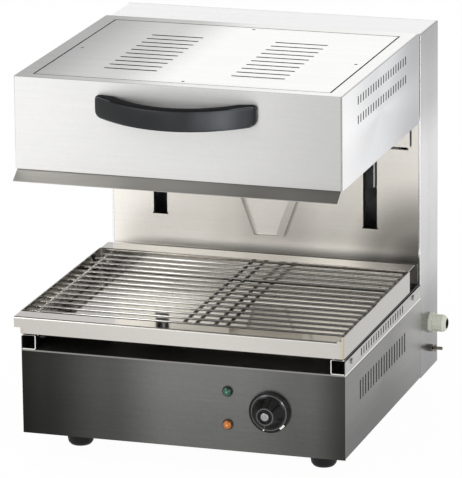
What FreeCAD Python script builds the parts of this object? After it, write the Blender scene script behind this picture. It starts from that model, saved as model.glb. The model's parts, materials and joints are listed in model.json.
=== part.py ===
# Rise-and-fall salamander grill, modelled as its separate sheet-metal, wire, turned and moulded pieces.
#
# Model frame while building, in millimetres:
#   X = 0 on the centre line, +X to the right seen from the front
#   Y = 0 on the front face of the base, +Y to the back
#   Z = 0 on the surface that the feet stand on, +Z up
# Every piece is moved to the frame with its origin at the bottom centre of the bounding box
# when it is written.

import FreeCAD, Part
import math
import os

Vector = FreeCAD.Vector
X_AXIS = Vector(1, 0, 0)
Y_AXIS = Vector(0, 1, 0)
Z_AXIS = Vector(0, 0, 1)

# Overall sizes
width = 450.0
body_depth = 466.0
foot_height = 36.0
base_height = 115.0
column_height = 490.2
column_depth = 89.8
hood_height = 125.0
hood_overtop = 3.2
hood_overhang = 7.6
hood_column_gap = 8.6
lift_travel = 175.0

# Small fasteners, their holes and thin wires are prisms with this many sides
fastener_sides = 8
head_sides = 12

# Turned pieces that repeat or are small have this many flat sides, and bends this many steps
turned_sides = 24
knob_sides = 48
quarter_steps = 4

# Sheet gauges and common clearances
sheet = 1.2
thin_sheet = 0.8
bend_radius = 1.5
body_gap = 0.3
running_gap = 0.05
hole_gap = 0.25

# Feet
foot_x = 172.0
foot_front_y = 80.0
foot_rear_inset = 56.0
foot_top_radius = 20.0
foot_side_radius = 18.6
foot_tread_radius = 13.5
foot_shoulder_height = 14.0
foot_screw_radius = 2.5
foot_screw_head_radius = 5.0
foot_screw_head_height = 3.0
foot_screw_head_gap = 0.8
foot_recess_depth = 20.0
nut_height = 4.0
nut_flats_radius = 4.0

# Base shell and control panel
flange = 14.0
base_vent_count = 18
base_vent_start_y = 72.0
base_vent_end_inset = 83.2
base_vent_width = 4.4
base_vent_low = 63.0
base_vent_high = 90.0
stiffener_depth = 10.0
stiffener_inset = 4.0
deck_thickness = 2.0
upstand_height = 50.5
upstand_side_inset = 4.0

# Rails and their vented side strips
rail_height = 20.8
rail_width = 18.8
rail_strip_height = 18.2
rail_vent_count = 18
rail_vent_start_y = 78.0
rail_vent_end_inset = 94.2
rail_vent_width = 4.0
rail_vent_low = 4.8
rail_vent_high = 14.8
rail_screw_front_y = 31.0
rail_screw_rear_inset = 40.0
rail_screw_radius = 2.0
rail_screw_head_radius = 3.6
rail_screw_head_height = 1.8
rail_nut_radius = 3.2
rail_nut_height = 3.0

# Drip tray
tray_wall = 1.0
tray_depth = 32.4
tray_front_y = -6.0
tray_back_gap = 22.2
tray_corner = 4.0
tray_foot_chamfer = 2.6
tray_ledge = 25.0
tray_rear_ledge = 29.0
tray_lip_drop = 13.5
tray_ledge_side_inset = 2.0

# Wire grid
grid_wire_radius = 1.6
grid_bar_radius = 2.25
grid_wire_count = 14
grid_wire_start_y = 24.0
grid_wire_end_inset = 11.7
grid_wire_half_length = 221.0
grid_outer_bar_x = 213.0
grid_inner_bar_x = 8.5
grid_bar_overrun = 14.0
grid_below_rim = 5.0

# Column
column_hem = 3.0
panel_side_gap = 0.3
slot_centre_x = 152.6
slot_width = 20.0
slot_low_margin = 2.5
slot_top_margin = 6.0
slot_flange_depth = 10.0
slot_relief_height = 3.0
recess_low = 190.0
recess_high = 300.0
recess_low_half = 16.0
recess_high_half = 56.0
recess_low_depth = 6.0
recess_high_depth = 14.0
tab_slot_x = 210.7
tab_slot_width = 2.8
tab_slot_low = 332.0
tab_slot_length = 60.0
tab_slot_flat_inner_x = 172.0
tab_slot_flat_outer_x = 207.4
tab_slot_flat_low = 326.5
tab_slot_flat_height = 3.8
floor_plate = 2.0
rear_flange = 22.0
rear_screw_inset = 15.0
rear_cover_vent_count = 9
rear_cover_vent_pitch = 12.0
rear_cover_vent_width = 4.0
rear_cover_vent_height = 30.0
rear_cover_vent_low = 60.0
rear_cover_vent_top = 100.0
cover_screw_radius = 2.0
cover_screw_head_radius = 3.8
cover_screw_head_height = 1.6
cover_screw_length = 7.0
wiring_hole_radius = 12.0
wiring_hole_x = 60.0
wiring_hole_height = 70.0

# Lift mechanism
guide_rod_radius = 6.0
guide_rod_x = 190.0
guide_rod_y = 35.8
bush_wall = 3.0
carriage_above_base = 386.0
carriage_height = 44.0
carriage_front = 23.8
carriage_web = 3.0
carriage_flange = 15.0
carriage_half_width = 204.0
carriage_channel_half = 170.0
bush_block_half = 14.0
bush_block_depth = 24.0
arm_thickness = 2.5
arm_x = 155.0
arm_height = 78.0
arm_above_carriage = 2.0
arm_flange = 25.0
arm_tail_low = 267.0
arm_tail_depth = 11.0
arm_bolt_radius = 3.0
arm_bolt_head_radius = 5.5
arm_bolt_head_height = 3.2
arm_bolt_inset = 16.0
arm_nut_radius = 5.0
pulley_pitch_radius = 16.0
pulley_flange_radius = 18.0
pulley_width = 9.0
pulley_x = 60.0
hood_rope_from_front = 31.8
pulley_centre_height = 455.0
pulley_axle_radius = 3.0
pulley_bracket_thickness = 2.5
pulley_bracket_gap = 1.0
pulley_bracket_half = 10.0
rope_radius = 1.25
ferrule_radius = 3.2
ferrule_height = 8.0
ferrule_neck_radius = 2.2
ferrule_stem = 12.0
mechanism_plate_height = 480.0
mechanism_plate_thickness = 3.0
weight_half_width = 135.0
weight_depth = 34.0
weight_height = 137.0
weight_rest_height = 8.0
weight_rod_radius = 4.0
weight_rod_x = 118.0

# Hood
hood_side_flange = 20.5
hood_front_flange = 19.0
hood_rear_flange = 22.0
cover_gap = 2.4
cover_front_gap = 1.6
cover_ledge = 10.0
cover_lug = 7.0
cover_slot_count = 10
cover_slot_first_y = 69.0
cover_slot_end_inset = 99.7
cover_slot_inner_x = 51.0
cover_slot_outer_x = 125.0
cover_slot_width = 4.6
cover_side_screw_inset = 33.5
cover_side_screw_y = 172.0
cover_end_screw_inset = 9.0
hood_vent_count = 20
hood_vent_start_y = 66.0
hood_vent_end_inset = 69.8
hood_vent_width = 4.0
hood_vent_height = 11.3
hood_vent_high_row = 97.8
hood_vent_low_row = 71.9
lip_reach = 17.0
lip_drop = 12.4
lip_tail = 16.0
reflector_rim = 20.0
reflector_height = 38.0
reflector_side_inset = 14.0
reflector_end_inset = 12.0
reflector_slope = 10.0
insulation_thickness = 20.0
element_radius = 4.0
element_level = 32.0
element_run_pitch = 44.0
element_runs = 4
element_front_inset = 34.0
element_rear_inset = 46.0
element_offset_x = 100.0
element_support_width = 12.0
element_support_height = 3.0
element_support_inset = 100.0
element_cold_end = 9.0
fitting_collar_radius = 8.0
fitting_neck_radius = 6.4

# Handle
handle_half_width = 110.5
handle_pad = 25.0
handle_reach = 46.0
handle_thickness = 16.0
handle_bar_height = 30.0
handle_sag = 4.5
handle_end_low = 79.5
handle_edge = 3.0
handle_corner = 9.0
handle_end_thickness = 8.0
handle_screw_radius = 2.5
handle_screw_head_radius = 4.8
handle_screw_depth = 7.0

# Controls
knob_x = 122.0
knob_height = 59.0
knob_skirt_radius = 28.0
knob_step_radius = 24.0
knob_cone_radius = 20.0
knob_nose_radius = 11.0
knob_length = 24.0
knob_skirt_height = 5.0
knob_skirt_bevel = 1.5
knob_step_height = 2.4
knob_press = 0.02
knob_panel_gap = 1.0
knob_cap_radius = 5.5
knob_cap_depth = 1.6
knob_cap_gap = 0.1
knob_cap_proud = 0.8
knob_cap_bevel = 1.1
spindle_radius = 3.0
spindle_reach = 14.0
regulator_width = 36.0
regulator_depth = 30.0
regulator_bushing_radius = 5.0
lamp_x = 63.5
power_lamp_height = 82.3
heating_lamp_height = 36.5
lamp_lens_radius = 7.4
lamp_lens_height = 5.5
lamp_body_radius = 5.0
lamp_body_length = 22.0
lamp_flange = 0.6

# Supply entry
gland_y = 50.8
gland_height = 67.0
gland_thread_radius = 10.0
gland_hex_radius = 13.0
gland_hex_length = 5.4
gland_cap_radius = 12.4
gland_cap_length = 19.0
gland_bore_radius = 5.2
gland_inner_length = 10.0
gland_spigot_length = 9.0
gland_seal_radius = 7.2
gland_seal_proud = 0.6
locknut_radius = 14.0
locknut_length = 5.0
stud_height = 30.0
stud_radius = 2.5
stud_length = 18.0
stud_inner_length = 6.0
stud_free_length = 8.2
stud_groove_width = 0.7
stud_groove_radius = 2.1
stud_nut_radius = 4.6
stud_washer_radius = 5.0
terminal_block_length = 60.0
terminal_block_width = 24.0
terminal_block_height = 20.0
terminal_block_x = 150.0
terminal_block_from_column = 76.2
terminal_ways = 4

# Levels and faces worked out from the sizes above
half = width / 2
base_low = foot_height
base_top = base_low + base_height
deck_top = base_top + deck_thickness
rail_top = deck_top + rail_height
tray_low = rail_top + body_gap
tray_rim = tray_low + tray_depth
column_front = body_depth - column_depth
column_rear = body_depth
upstand_front = column_front - deck_thickness
tray_rear_y = upstand_front - tray_back_gap - tray_rear_ledge
grid_wire_last_y = tray_rear_y - grid_wire_end_inset
grid_wire_pitch = (grid_wire_last_y - grid_wire_start_y) / (grid_wire_count - 1)
column_top = base_low + column_height
hood_front = -hood_overhang
hood_rear = column_front - hood_column_gap
hood_top = column_top + hood_overtop
hood_low = hood_top - hood_height
carriage_low = base_low + carriage_above_base
carriage_top = carriage_low + carriage_height
arm_low = carriage_low + arm_above_carriage
slot_low = arm_low - lift_travel - slot_low_margin
arm_high = arm_low + arm_height
slot_high = arm_high + slot_top_margin
carriage_y = column_front + carriage_front
rod_y = column_front + guide_rod_y
hood_rope_y = column_front + hood_rope_from_front
pulley_y = hood_rope_y + pulley_pitch_radius
pulley_z = base_low + pulley_centre_height
weight_rope_y = pulley_y + pulley_pitch_radius
rod_low = base_low + floor_plate
rod_high = base_low + mechanism_plate_height
weight_low = base_low + weight_rest_height
weight_high = weight_low + weight_height
base_vent_pitch = (column_front - base_vent_end_inset - base_vent_start_y) / (base_vent_count - 1)
rail_vent_pitch = (column_front - rail_vent_end_inset - rail_vent_start_y) / (rail_vent_count - 1)
hood_vent_pitch = (hood_rear - hood_vent_end_inset - hood_vent_start_y) / (hood_vent_count - 1)
cover_slot_pitch = (hood_rear - cover_slot_end_inset - cover_slot_first_y) / (cover_slot_count - 1)
terminal_block_y = column_front - terminal_block_from_column
knob_z = base_low + knob_height
cover_side_screw_x = half - cover_side_screw_inset
gland_z = base_low + gland_height
gland_world_y = column_front + gland_y
stud_z = base_low + stud_height
reflector_low = hood_low + reflector_rim
reflector_high = reflector_low + reflector_height
element_z = hood_low + element_level


def box(x0, x1, y0, y1, z0, z1):
    """Block between two corners."""
    return Part.makeBox(x1 - x0, y1 - y0, z1 - z0, Vector(x0, y0, z0))


def round_bar(radius, start, end):
    """Solid cylinder from one point to another."""
    along = end - start
    return Part.makeCylinder(radius, along.Length, start, along)


def polygon_points(sides, flats_radius, centre, direction):
    """Corners of a regular polygon across a direction; its flats lie this far from its centre."""
    facing = Vector(direction).normalize()
    side = Z_AXIS if abs(facing.z) < 0.9 else X_AXIS
    across = facing.cross(side).normalize()
    up = across.cross(facing)
    corner = flats_radius / math.cos(math.pi / sides)
    points = []
    for step in range(sides):
        angle = 2 * math.pi * (step + 0.5) / sides
        points.append(centre + across * (corner * math.cos(angle)) + up * (corner * math.sin(angle)))
    return points


def flat_face(points):
    """Flat face inside a closed outline."""
    return Part.Face(Part.makePolygon(points + [points[0]]))


def polygon_face(sides, flats_radius, centre, direction):
    """Regular polygon across a direction, with the given distance from its centre to its flats."""
    return flat_face(polygon_points(sides, flats_radius, centre, direction))


def faceted(rings):
    """Solid through matching rings of points, with flat sides and a flat face at each end."""
    faces = [flat_face(rings[0]), flat_face(rings[-1])]
    for near, far in zip(rings, rings[1:]):
        for index in range(len(near)):
            faces.append(flat_face([near[index - 1], near[index], far[index], far[index - 1]]))
    shell = Part.Shell(faces)
    shell.sewShape()
    solid = Part.Solid(shell)
    if solid.Volume < 0:
        solid.reverse()
    return solid


def polygon_bar(sides, flats_radius, start, end):
    """Prism with a regular section about the line from start to end."""
    return polygon_face(sides, flats_radius, start, end - start).extrude(end - start)


def turned_bar(rings, centre, axis, sides=turned_sides):
    """Turned piece with flat sides, through rings given as (distance along the axis, radius)."""
    outlines = []
    for along, radius in rings:
        outlines.append(polygon_points(sides, radius, centre + axis * along, axis))
    return faceted(outlines)


def turned_bend(section, centre, axis, turn, steps):
    """Bend in even steps: a ring of points turned about an axis through centre."""
    outlines = []
    for step in range(steps + 1):
        turned = FreeCAD.Rotation(axis, turn * step / steps)
        outlines.append([centre + turned.multVec(point - centre) for point in section])
    return faceted(outlines)


def small_hole(radius, start, end):
    """Cutter for the hole of a small fastener."""
    return polygon_bar(fastener_sides, radius + hole_gap, start, end)


def prism(points, along):
    """Closed outline, given as points in one plane, pushed along a vector."""
    return flat_face(points).extrude(along)


def join(pieces):
    """One solid out of pieces that touch or overlap."""
    first = pieces[0]
    return first.fuse(pieces[1:]).removeSplitter() if len(pieces) > 1 else first


def mirrored(shape):
    """The same piece on the other side of the centre line."""
    return shape.mirror(Vector(0, 0, 0), X_AXIS)


def pair(shape):
    """A piece and its mirror image as separate solids."""
    return Part.makeCompound([shape, mirrored(shape)])


def skin_corner(previous, corner, following, radius):
    """Points where a bend of this radius starts, passes and ends at a corner of an outline."""
    back = (previous - corner).normalize()
    ahead = (following - corner).normalize()
    half_angle = back.getAngle(ahead) / 2
    reach = radius / math.tan(half_angle)
    inward = (back + ahead).normalize()
    middle = corner + inward * (radius / math.sin(half_angle) - radius)
    return corner + back * reach, middle, corner + ahead * reach


def folded_profile(skin, thickness, normal, inner_radius):
    """Face of a bent sheet: skin is one side, and the other side lies to the left of it about normal."""
    count = len(skin)
    lefts = []
    for index in range(count - 1):
        lefts.append(normal.cross(skin[index + 1] - skin[index]).normalize())
    other = [skin[0] + lefts[0] * thickness]
    for index in range(1, count - 1):
        blend = lefts[index - 1] + lefts[index]
        other.append(skin[index] + blend * (2 * thickness / blend.dot(blend)))
    other.append(skin[-1] + lefts[-1] * thickness)

    def edges_of(line, turn_sign):
        edges = []
        at = line[0]
        for index in range(1, count - 1):
            turn = normal.dot((skin[index] - skin[index - 1]).cross(skin[index + 1] - skin[index]))
            inside = turn * turn_sign > 0
            radius = inner_radius if inside else inner_radius + thickness
            start, middle, end = skin_corner(line[index - 1], line[index], line[index + 1], radius)
            edges.append(Part.LineSegment(at, start).toShape())
            edges.append(Part.Arc(start, middle, end).toShape())
            at = end
        edges.append(Part.LineSegment(at, line[-1]).toShape())
        return edges

    edges = edges_of(skin, -1) + edges_of(other, 1)
    edges.append(Part.LineSegment(skin[0], other[0]).toShape())
    edges.append(Part.LineSegment(skin[-1], other[-1]).toShape())
    return Part.Face(Part.Wire(Part.__sortEdges__(edges)))


def folded_sheet_x(skin_yz, thickness, x0, x1, radius=bend_radius):
    """Bent sheet whose section in the YZ plane runs from x0 to x1."""
    skin = [Vector(x0, y, z) for y, z in skin_yz]
    return folded_profile(skin, thickness, X_AXIS, radius).extrude(Vector(x1 - x0, 0, 0))


def folded_sheet_y(skin_xz, thickness, y0, y1, radius=bend_radius):
    """Bent sheet whose section in the XZ plane runs from y0 to y1."""
    skin = [Vector(x, y0, z) for x, z in skin_xz]
    return folded_profile(skin, thickness, Y_AXIS, radius).extrude(Vector(0, y1 - y0, 0))


def folded_sheet_z(skin_xy, thickness, z0, z1, radius=bend_radius):
    """Bent sheet whose section in the XY plane runs from z0 to z1."""
    skin = [Vector(x, y, z0) for x, y in skin_xy]
    return folded_profile(skin, thickness, Z_AXIS, radius).extrude(Vector(0, 0, z1 - z0))


def side_vents(count, pitch, start_y, wide, z0, z1):
    """Cutters for one row of upright slots through both side walls."""
    cutters = []
    for index in range(count):
        y = start_y + index * pitch
        cutters.append(box(-half - 1, -half + rail_width, y - wide / 2, y + wide / 2, z0, z1))
        cutters.append(box(half - rail_width, half + 1, y - wide / 2, y + wide / 2, z0, z1))
    return cutters


def screw(radius, head_radius, head_height, seat, direction, length):
    """Screw whose head stands on the seat and whose shank goes the other way."""
    shank = polygon_bar(fastener_sides, radius, seat - direction * length, seat)
    head = polygon_bar(head_sides, head_radius, seat, seat + direction * head_height)
    return join([shank, head])


def bolt_and_nut(radius, head_radius, head_height, seat, direction, grip, nut_radius, nut_thickness):
    """Bolt through a stack of this grip, with its nut on the far side as one tightened fastener."""
    bolt = screw(radius, head_radius, head_height, seat, direction, grip + nut_thickness + 1.0)
    nut_start = seat - direction * grip
    return join([bolt, polygon_bar(6, nut_radius, nut_start, nut_start - direction * nut_thickness)])


# Feet

foot_rear_y = body_depth - foot_rear_inset
foot_places = [
    (-foot_x, foot_front_y),
    (foot_x, foot_front_y),
    (-foot_x, foot_rear_y),
    (foot_x, foot_rear_y),
]


def floor_over_foot(y):
    """Thickness of the sheet that the foot at this depth is bolted through."""
    return floor_plate if y > column_front else sheet


def make_rubber_foot(x, y):
    """Round foot that widens upwards, with a recess for the head of its screw."""
    tread = Vector(x, y, 0)
    rings = [
        (0, foot_tread_radius),
        (
            foot_shoulder_height * 0.3,
            foot_tread_radius + (foot_side_radius - foot_tread_radius) * 0.7,
        ),
        (foot_shoulder_height, foot_side_radius),
        (foot_height, foot_top_radius),
    ]
    recess_radius = foot_screw_head_radius + foot_screw_head_gap
    recess = polygon_bar(
        head_sides, recess_radius, tread - Z_AXIS, tread + Z_AXIS * foot_recess_depth
    )
    bore = polygon_bar(
        fastener_sides, foot_screw_radius + running_gap, tread + Z_AXIS, tread + Z_AXIS * (foot_height + 1)
    )
    return turned_bar(rings, tread, Z_AXIS).cut([recess, bore])


def make_foot_screw(x, y):
    seat = Vector(x, y, foot_recess_depth)
    length = base_low + floor_over_foot(y) + nut_height + 2.0 - foot_recess_depth
    return screw(foot_screw_radius, foot_screw_head_radius, foot_screw_head_height, seat, -Z_AXIS, length)


def make_foot_nut(x, y):
    low = Vector(x, y, base_low + floor_over_foot(y))
    high = low + Z_AXIS * nut_height
    bore = polygon_bar(fastener_sides, foot_screw_radius + running_gap, low - Z_AXIS, high + Z_AXIS)
    return polygon_bar(6, nut_flats_radius, low, high).cut(bore)


def foot_holes():
    return [
        small_hole(foot_screw_radius, Vector(x, y, base_low - 1), Vector(x, y, base_low + 6))
        for x, y in foot_places
    ]


# Base

def make_base_shell():
    skin = [
        (half - flange, base_top),
        (half, base_top),
        (half, base_low),
        (-half, base_low),
        (-half, base_top),
        (-half + flange, base_top),
    ]
    shell = folded_sheet_y(skin, sheet, sheet, column_front)
    vents = side_vents(
        base_vent_count,
        base_vent_pitch,
        base_vent_start_y,
        base_vent_width,
        base_low + base_vent_low,
        base_low + base_vent_high,
    )
    return shell.cut(vents + foot_holes())


def make_control_panel():
    face = box(-half, half, 0, sheet, base_low, base_top)
    low = base_low + sheet + stiffener_inset
    high = base_top - sheet - stiffener_inset
    inner = half - sheet - stiffener_inset
    ribs = [
        box(-inner, inner, sheet, sheet + stiffener_depth, low, low + sheet),
        box(-inner, inner, sheet, sheet + stiffener_depth, high - sheet, high),
    ]
    holes = [
        round_bar(
            regulator_bushing_radius + hole_gap, Vector(knob_x, -1, knob_z), Vector(knob_x, 5, knob_z)
        ),
    ]
    for height in (power_lamp_height, heating_lamp_height):
        z = base_low + height
        holes.append(small_hole(lamp_body_radius, Vector(lamp_x, -1, z), Vector(lamp_x, 5, z)))
    return join([face] + ribs).cut(holes)


def make_deck_plate():
    """Deck with its rear edge turned up in front of the column."""
    inner = half - upstand_side_inset
    skin = [
        (0, base_top),
        (column_front, base_top),
        (column_front, base_top + upstand_height),
    ]
    middle = folded_sheet_x(skin, deck_thickness, -inner, inner)
    edges = [
        box(-half, -inner, 0, column_front, base_top, deck_top),
        box(inner, half, 0, column_front, base_top, deck_top),
    ]
    return join([middle] + edges)


def rail_screw_places():
    return (rail_screw_front_y, column_front - rail_screw_rear_inset)


rail_screw_z = deck_top + rail_height / 2 + 1.0
rail_web = half - sheet - rail_width


def make_rail_channel():
    """Right-hand channel, open towards the outside."""
    outer = half - sheet
    skin = [(outer, deck_top), (rail_web, deck_top), (rail_web, rail_top), (outer, rail_top)]
    channel = folded_sheet_y(skin, sheet, 0.5, column_front)
    inner = half - upstand_side_inset
    clear = box(
        0, inner + hole_gap, column_front - deck_thickness - 2 * bend_radius, column_front + 1,
        base_top, column_top
    )
    holes = []
    for y in rail_screw_places():
        start = Vector(rail_web - 3, y, rail_screw_z)
        holes.append(small_hole(rail_screw_radius, start, start + X_AXIS * 6))
    return channel.cut([clear] + holes)


def make_rail_strip():
    """Right-hand vented strip that closes the lower part of the channel's open side."""
    strip = box(half - sheet, half, 0, column_front, deck_top, deck_top + rail_strip_height)
    cuts = side_vents(
        rail_vent_count,
        rail_vent_pitch,
        rail_vent_start_y,
        rail_vent_width,
        deck_top + rail_vent_low,
        deck_top + rail_vent_high,
    )
    for y in rail_screw_places():
        start = Vector(half - 3, y, rail_screw_z)
        cuts.append(small_hole(rail_screw_radius, start, start + X_AXIS * 6))
    return strip.cut(cuts)


def make_rail_screws():
    screws = []
    for y in rail_screw_places():
        seat = Vector(half, y, rail_screw_z)
        grip = half - rail_web
        screws.append(
            bolt_and_nut(
                rail_screw_radius, rail_screw_head_radius, rail_screw_head_height,
                seat, X_AXIS, grip, rail_nut_radius, rail_nut_height
            )
        )
    return Part.makeCompound(screws + [mirrored(s) for s in screws])


# Tray and grid

def make_drip_tray():
    """Pan with rounded upright corners, a front ledge with a turned-down lip and a rear ledge."""
    outer = box(-half, half, tray_front_y, tray_rear_y, tray_low, tray_rim)
    uprights = [e for e in outer.Edges if e.BoundBox.ZLength > tray_depth / 2]
    outer = outer.makeFillet(tray_corner, uprights)
    foot_edges = [e for e in outer.Edges if e.BoundBox.ZMax < tray_low + 0.01]
    outer = outer.makeChamfer(tray_foot_chamfer, foot_edges)
    inner = box(
        -half + tray_wall,
        half - tray_wall,
        tray_front_y + tray_wall,
        tray_rear_y - tray_wall,
        tray_low + tray_wall,
        tray_rim + 1,
    )
    uprights = [e for e in inner.Edges if e.BoundBox.ZLength > tray_depth / 2]
    inner = inner.makeFillet(tray_corner - tray_wall, uprights)
    foot_edges = [e for e in inner.Edges if e.BoundBox.ZMax < tray_low + tray_wall + 0.01]
    inner = inner.makeChamfer(tray_foot_chamfer * 0.8, foot_edges)
    ledge_half = half - tray_ledge_side_inset
    front = tray_front_y - tray_ledge
    skin = [
        (front, tray_rim - tray_lip_drop),
        (front, tray_rim),
        (tray_front_y + tray_wall, tray_rim),
    ]
    front_ledge = folded_sheet_x(skin, tray_wall, -ledge_half, ledge_half)
    rear_ledge = box(
        -ledge_half, ledge_half, tray_rear_y - tray_wall, tray_rear_y + tray_rear_ledge,
        tray_rim - tray_wall, tray_rim
    )
    return join([outer.cut(inner), front_ledge, rear_ledge])


def make_outer_grid_bar(x, front, rear, level, floor):
    """Bar across the ends of the wires, bent down into a foot at its front and its rear."""
    bend = 2.0 * grid_bar_radius
    level_front = Vector(x, front + bend, level)
    level_rear = Vector(x, rear - bend, level)
    pieces = [polygon_bar(fastener_sides, grid_bar_radius, level_front, level_rear)]
    for foot_y, bend_start, turn in ((front, level_front, 90), (rear, level_rear, -90)):
        section = polygon_points(fastener_sides, grid_bar_radius, bend_start, Y_AXIS)
        centre = bend_start - Z_AXIS * bend
        pieces.append(turned_bend(section, centre, X_AXIS, turn, quarter_steps))
        foot = Vector(x, foot_y, floor)
        pieces.append(
            polygon_bar(fastener_sides, grid_bar_radius, foot, Vector(x, foot_y, centre.z))
        )
    return join(pieces)


def make_wire_grid():
    """Long wires that lie across four bars; each of them is a rod of its own."""
    wire_z = tray_rim - grid_below_rim - grid_wire_radius
    bar_z = wire_z - grid_wire_radius - grid_bar_radius
    bar_front = grid_wire_start_y - grid_bar_overrun
    bar_limit = tray_rear_y - tray_wall - grid_bar_radius - tray_foot_chamfer
    bar_rear = min(grid_wire_last_y + grid_bar_overrun, bar_limit)
    floor = tray_low + tray_wall + body_gap
    rods = []
    for index in range(grid_wire_count):
        y = grid_wire_start_y + index * grid_wire_pitch
        start = Vector(-grid_wire_half_length, y, wire_z)
        rods.append(
            polygon_bar(
                fastener_sides, grid_wire_radius, start, start + X_AXIS * 2 * grid_wire_half_length
            )
        )
    for x in (-grid_inner_bar_x, grid_inner_bar_x):
        rods.append(
            polygon_bar(
                fastener_sides, grid_bar_radius, Vector(x, bar_front, bar_z), Vector(x, bar_rear, bar_z)
            )
        )
    for x in (-grid_outer_bar_x, grid_outer_bar_x):
        rods.append(make_outer_grid_bar(x, bar_front, bar_rear, bar_z, floor))
    return Part.makeCompound(rods)


# Column

def make_column_shell():
    """Sides and top bent from one sheet, a rolled front edge and flanges for the rear cover."""
    skin = [(-half, base_low), (-half, column_top), (half, column_top), (half, base_low)]
    shell = folded_sheet_y(skin, sheet, column_front + column_hem, column_rear - sheet)
    ring = box(-half, half, column_front, column_front + column_hem, base_low, column_top)
    front_edges = []
    for edge in ring.Edges:
        bounds = edge.BoundBox
        if bounds.YMax < column_front + 0.01 and bounds.ZMax > base_low + 1:
            front_edges.append(edge)
    ring = ring.makeFillet(column_hem * 0.4, front_edges)
    inside = half - column_hem
    ring = ring.cut(
        box(-inside, inside, column_front - 1, column_front + 10, base_low - 1, column_top - column_hem)
    )
    y1 = column_rear - sheet
    frame = box(-half + sheet, half - sheet, y1 - sheet, y1, base_low + floor_plate, column_top - sheet)
    window = box(
        -half + rear_flange, half - rear_flange, y1 - 5, y1 + 5, base_low, column_top - rear_flange
    )
    cuts = []
    for radius, z in ((gland_thread_radius, gland_z), (stud_radius, stud_z)):
        start = Vector(half - 3, gland_world_y, z)
        cuts.append(round_bar(radius + hole_gap, start, start + X_AXIS * 6))
    for x, z in rear_cover_screw_places():
        start = Vector(x, y1 - 3, z)
        cuts.append(
            polygon_bar(fastener_sides, cover_screw_radius + running_gap, start, start + Y_AXIS * 6)
        )
    return join([shell, ring, frame.cut(window)]).cut(cuts)


def recess_block(grow):
    """The recess, grown by this much, as a solid that gets deeper towards its top."""
    z0 = base_low + recess_low
    z1 = base_low + recess_high
    outline = [
        Vector(-recess_low_half - grow, 0, z0 - grow),
        Vector(recess_low_half + grow, 0, z0 - grow),
        Vector(recess_high_half + grow, 0, z1 + grow),
        Vector(-recess_high_half - grow, 0, z1 + grow),
    ]
    section = [
        Vector(-half, column_front, z0 - 10),
        Vector(-half, column_front + recess_low_depth + grow, z0 - 10),
        Vector(-half, column_front + recess_low_depth + grow, z0),
        Vector(-half, column_front + recess_high_depth + grow, z1),
        Vector(-half, column_front + recess_high_depth + grow, z1 + 10),
        Vector(-half, column_front, z1 + 10),
    ]
    return prism(outline, Y_AXIS * body_depth).common(prism(section, X_AXIS * width))


def make_column_front():
    """Front wall of the column with the arm slots, the pressed recess and the tab slots."""
    panel_half = half - column_hem - panel_side_gap
    y0 = column_front
    y1 = column_front + sheet
    panel = box(
        -panel_half, panel_half, y0, y1, base_low + floor_plate,
        column_top - column_hem - panel_side_gap
    )
    added = [recess_block(sheet)]
    removed = [recess_block(0)]
    flange_low = slot_low + slot_relief_height
    for side in (-1, 1):
        x_in = side * slot_centre_x - slot_width / 2
        x_out = side * slot_centre_x + slot_width / 2
        removed.append(box(x_in, x_out, y0 - 1, y1 + 1, slot_low, slot_high))
        removed.append(box(x_in - sheet, x_out + sheet, y0 - 1, y1 + 1, slot_low, flange_low - 0.4))
        for edge_x in (x_in - sheet, x_out):
            added.append(
                box(edge_x, edge_x + sheet, y1 - 0.2, y1 + slot_flange_depth, flange_low, slot_high)
            )
        upright = [side * (tab_slot_x - tab_slot_width / 2), side * (tab_slot_x + tab_slot_width / 2)]
        low = base_low + tab_slot_low
        removed.append(box(min(upright), max(upright), y0 - 1, y1 + 1, low, low + tab_slot_length))
        level = [side * tab_slot_flat_inner_x, side * tab_slot_flat_outer_x]
        low = base_low + tab_slot_flat_low
        removed.append(box(min(level), max(level), y0 - 1, y1 + 1, low, low + tab_slot_flat_height))
    start = Vector(wiring_hole_x, y0 - 2, base_low + wiring_hole_height)
    removed.append(round_bar(wiring_hole_radius, start, start + Y_AXIS * 5))
    return join([panel] + added).cut(removed)


def column_corner_cuts():
    """What a plate inside the column leaves free for the rolled front edges."""
    inside = half - column_hem - panel_side_gap
    behind = column_front + column_hem + panel_side_gap
    return [
        box(inside, half + 1, column_front - 1, behind, 0, column_top),
        box(-half - 1, -inside, column_front - 1, behind, 0, column_top),
    ]


def make_column_floor():
    plate = box(
        -half + sheet, half - sheet, column_front, column_rear - sheet, base_low, base_low + floor_plate
    )
    return plate.cut(column_corner_cuts() + foot_holes())


def rear_cover_screw_places():
    side = half - rear_screw_inset
    low = base_low + rear_screw_inset
    high = column_top - rear_screw_inset
    middle = (low + high) / 2
    return [(x, z) for x in (-side, side) for z in (low, middle, high)]


def make_rear_cover():
    cover = box(-half, half, column_rear - sheet, column_rear, base_low, column_top)
    cuts = []
    span = (rear_cover_vent_count - 1) * rear_cover_vent_pitch
    for low in (base_low + rear_cover_vent_low, column_top - rear_cover_vent_top):
        for index in range(rear_cover_vent_count):
            x = -span / 2 + index * rear_cover_vent_pitch
            x0 = x - rear_cover_vent_width / 2
            x1 = x + rear_cover_vent_width / 2
            cuts.append(box(x0, x1, column_rear - 5, column_rear + 5, low, low + rear_cover_vent_height))
    for x, z in rear_cover_screw_places():
        start = Vector(x, column_rear - 5, z)
        cuts.append(small_hole(cover_screw_radius, start, start + Y_AXIS * 10))
    return cover.cut(cuts)


def cover_screw(seat, direction):
    return screw(
        cover_screw_radius, cover_screw_head_radius, cover_screw_head_height, seat, direction,
        cover_screw_length
    )


def make_rear_cover_screws():
    return Part.makeCompound(
        [cover_screw(Vector(x, column_rear, z), Y_AXIS) for x, z in rear_cover_screw_places()]
    )


# Lift mechanism

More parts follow.
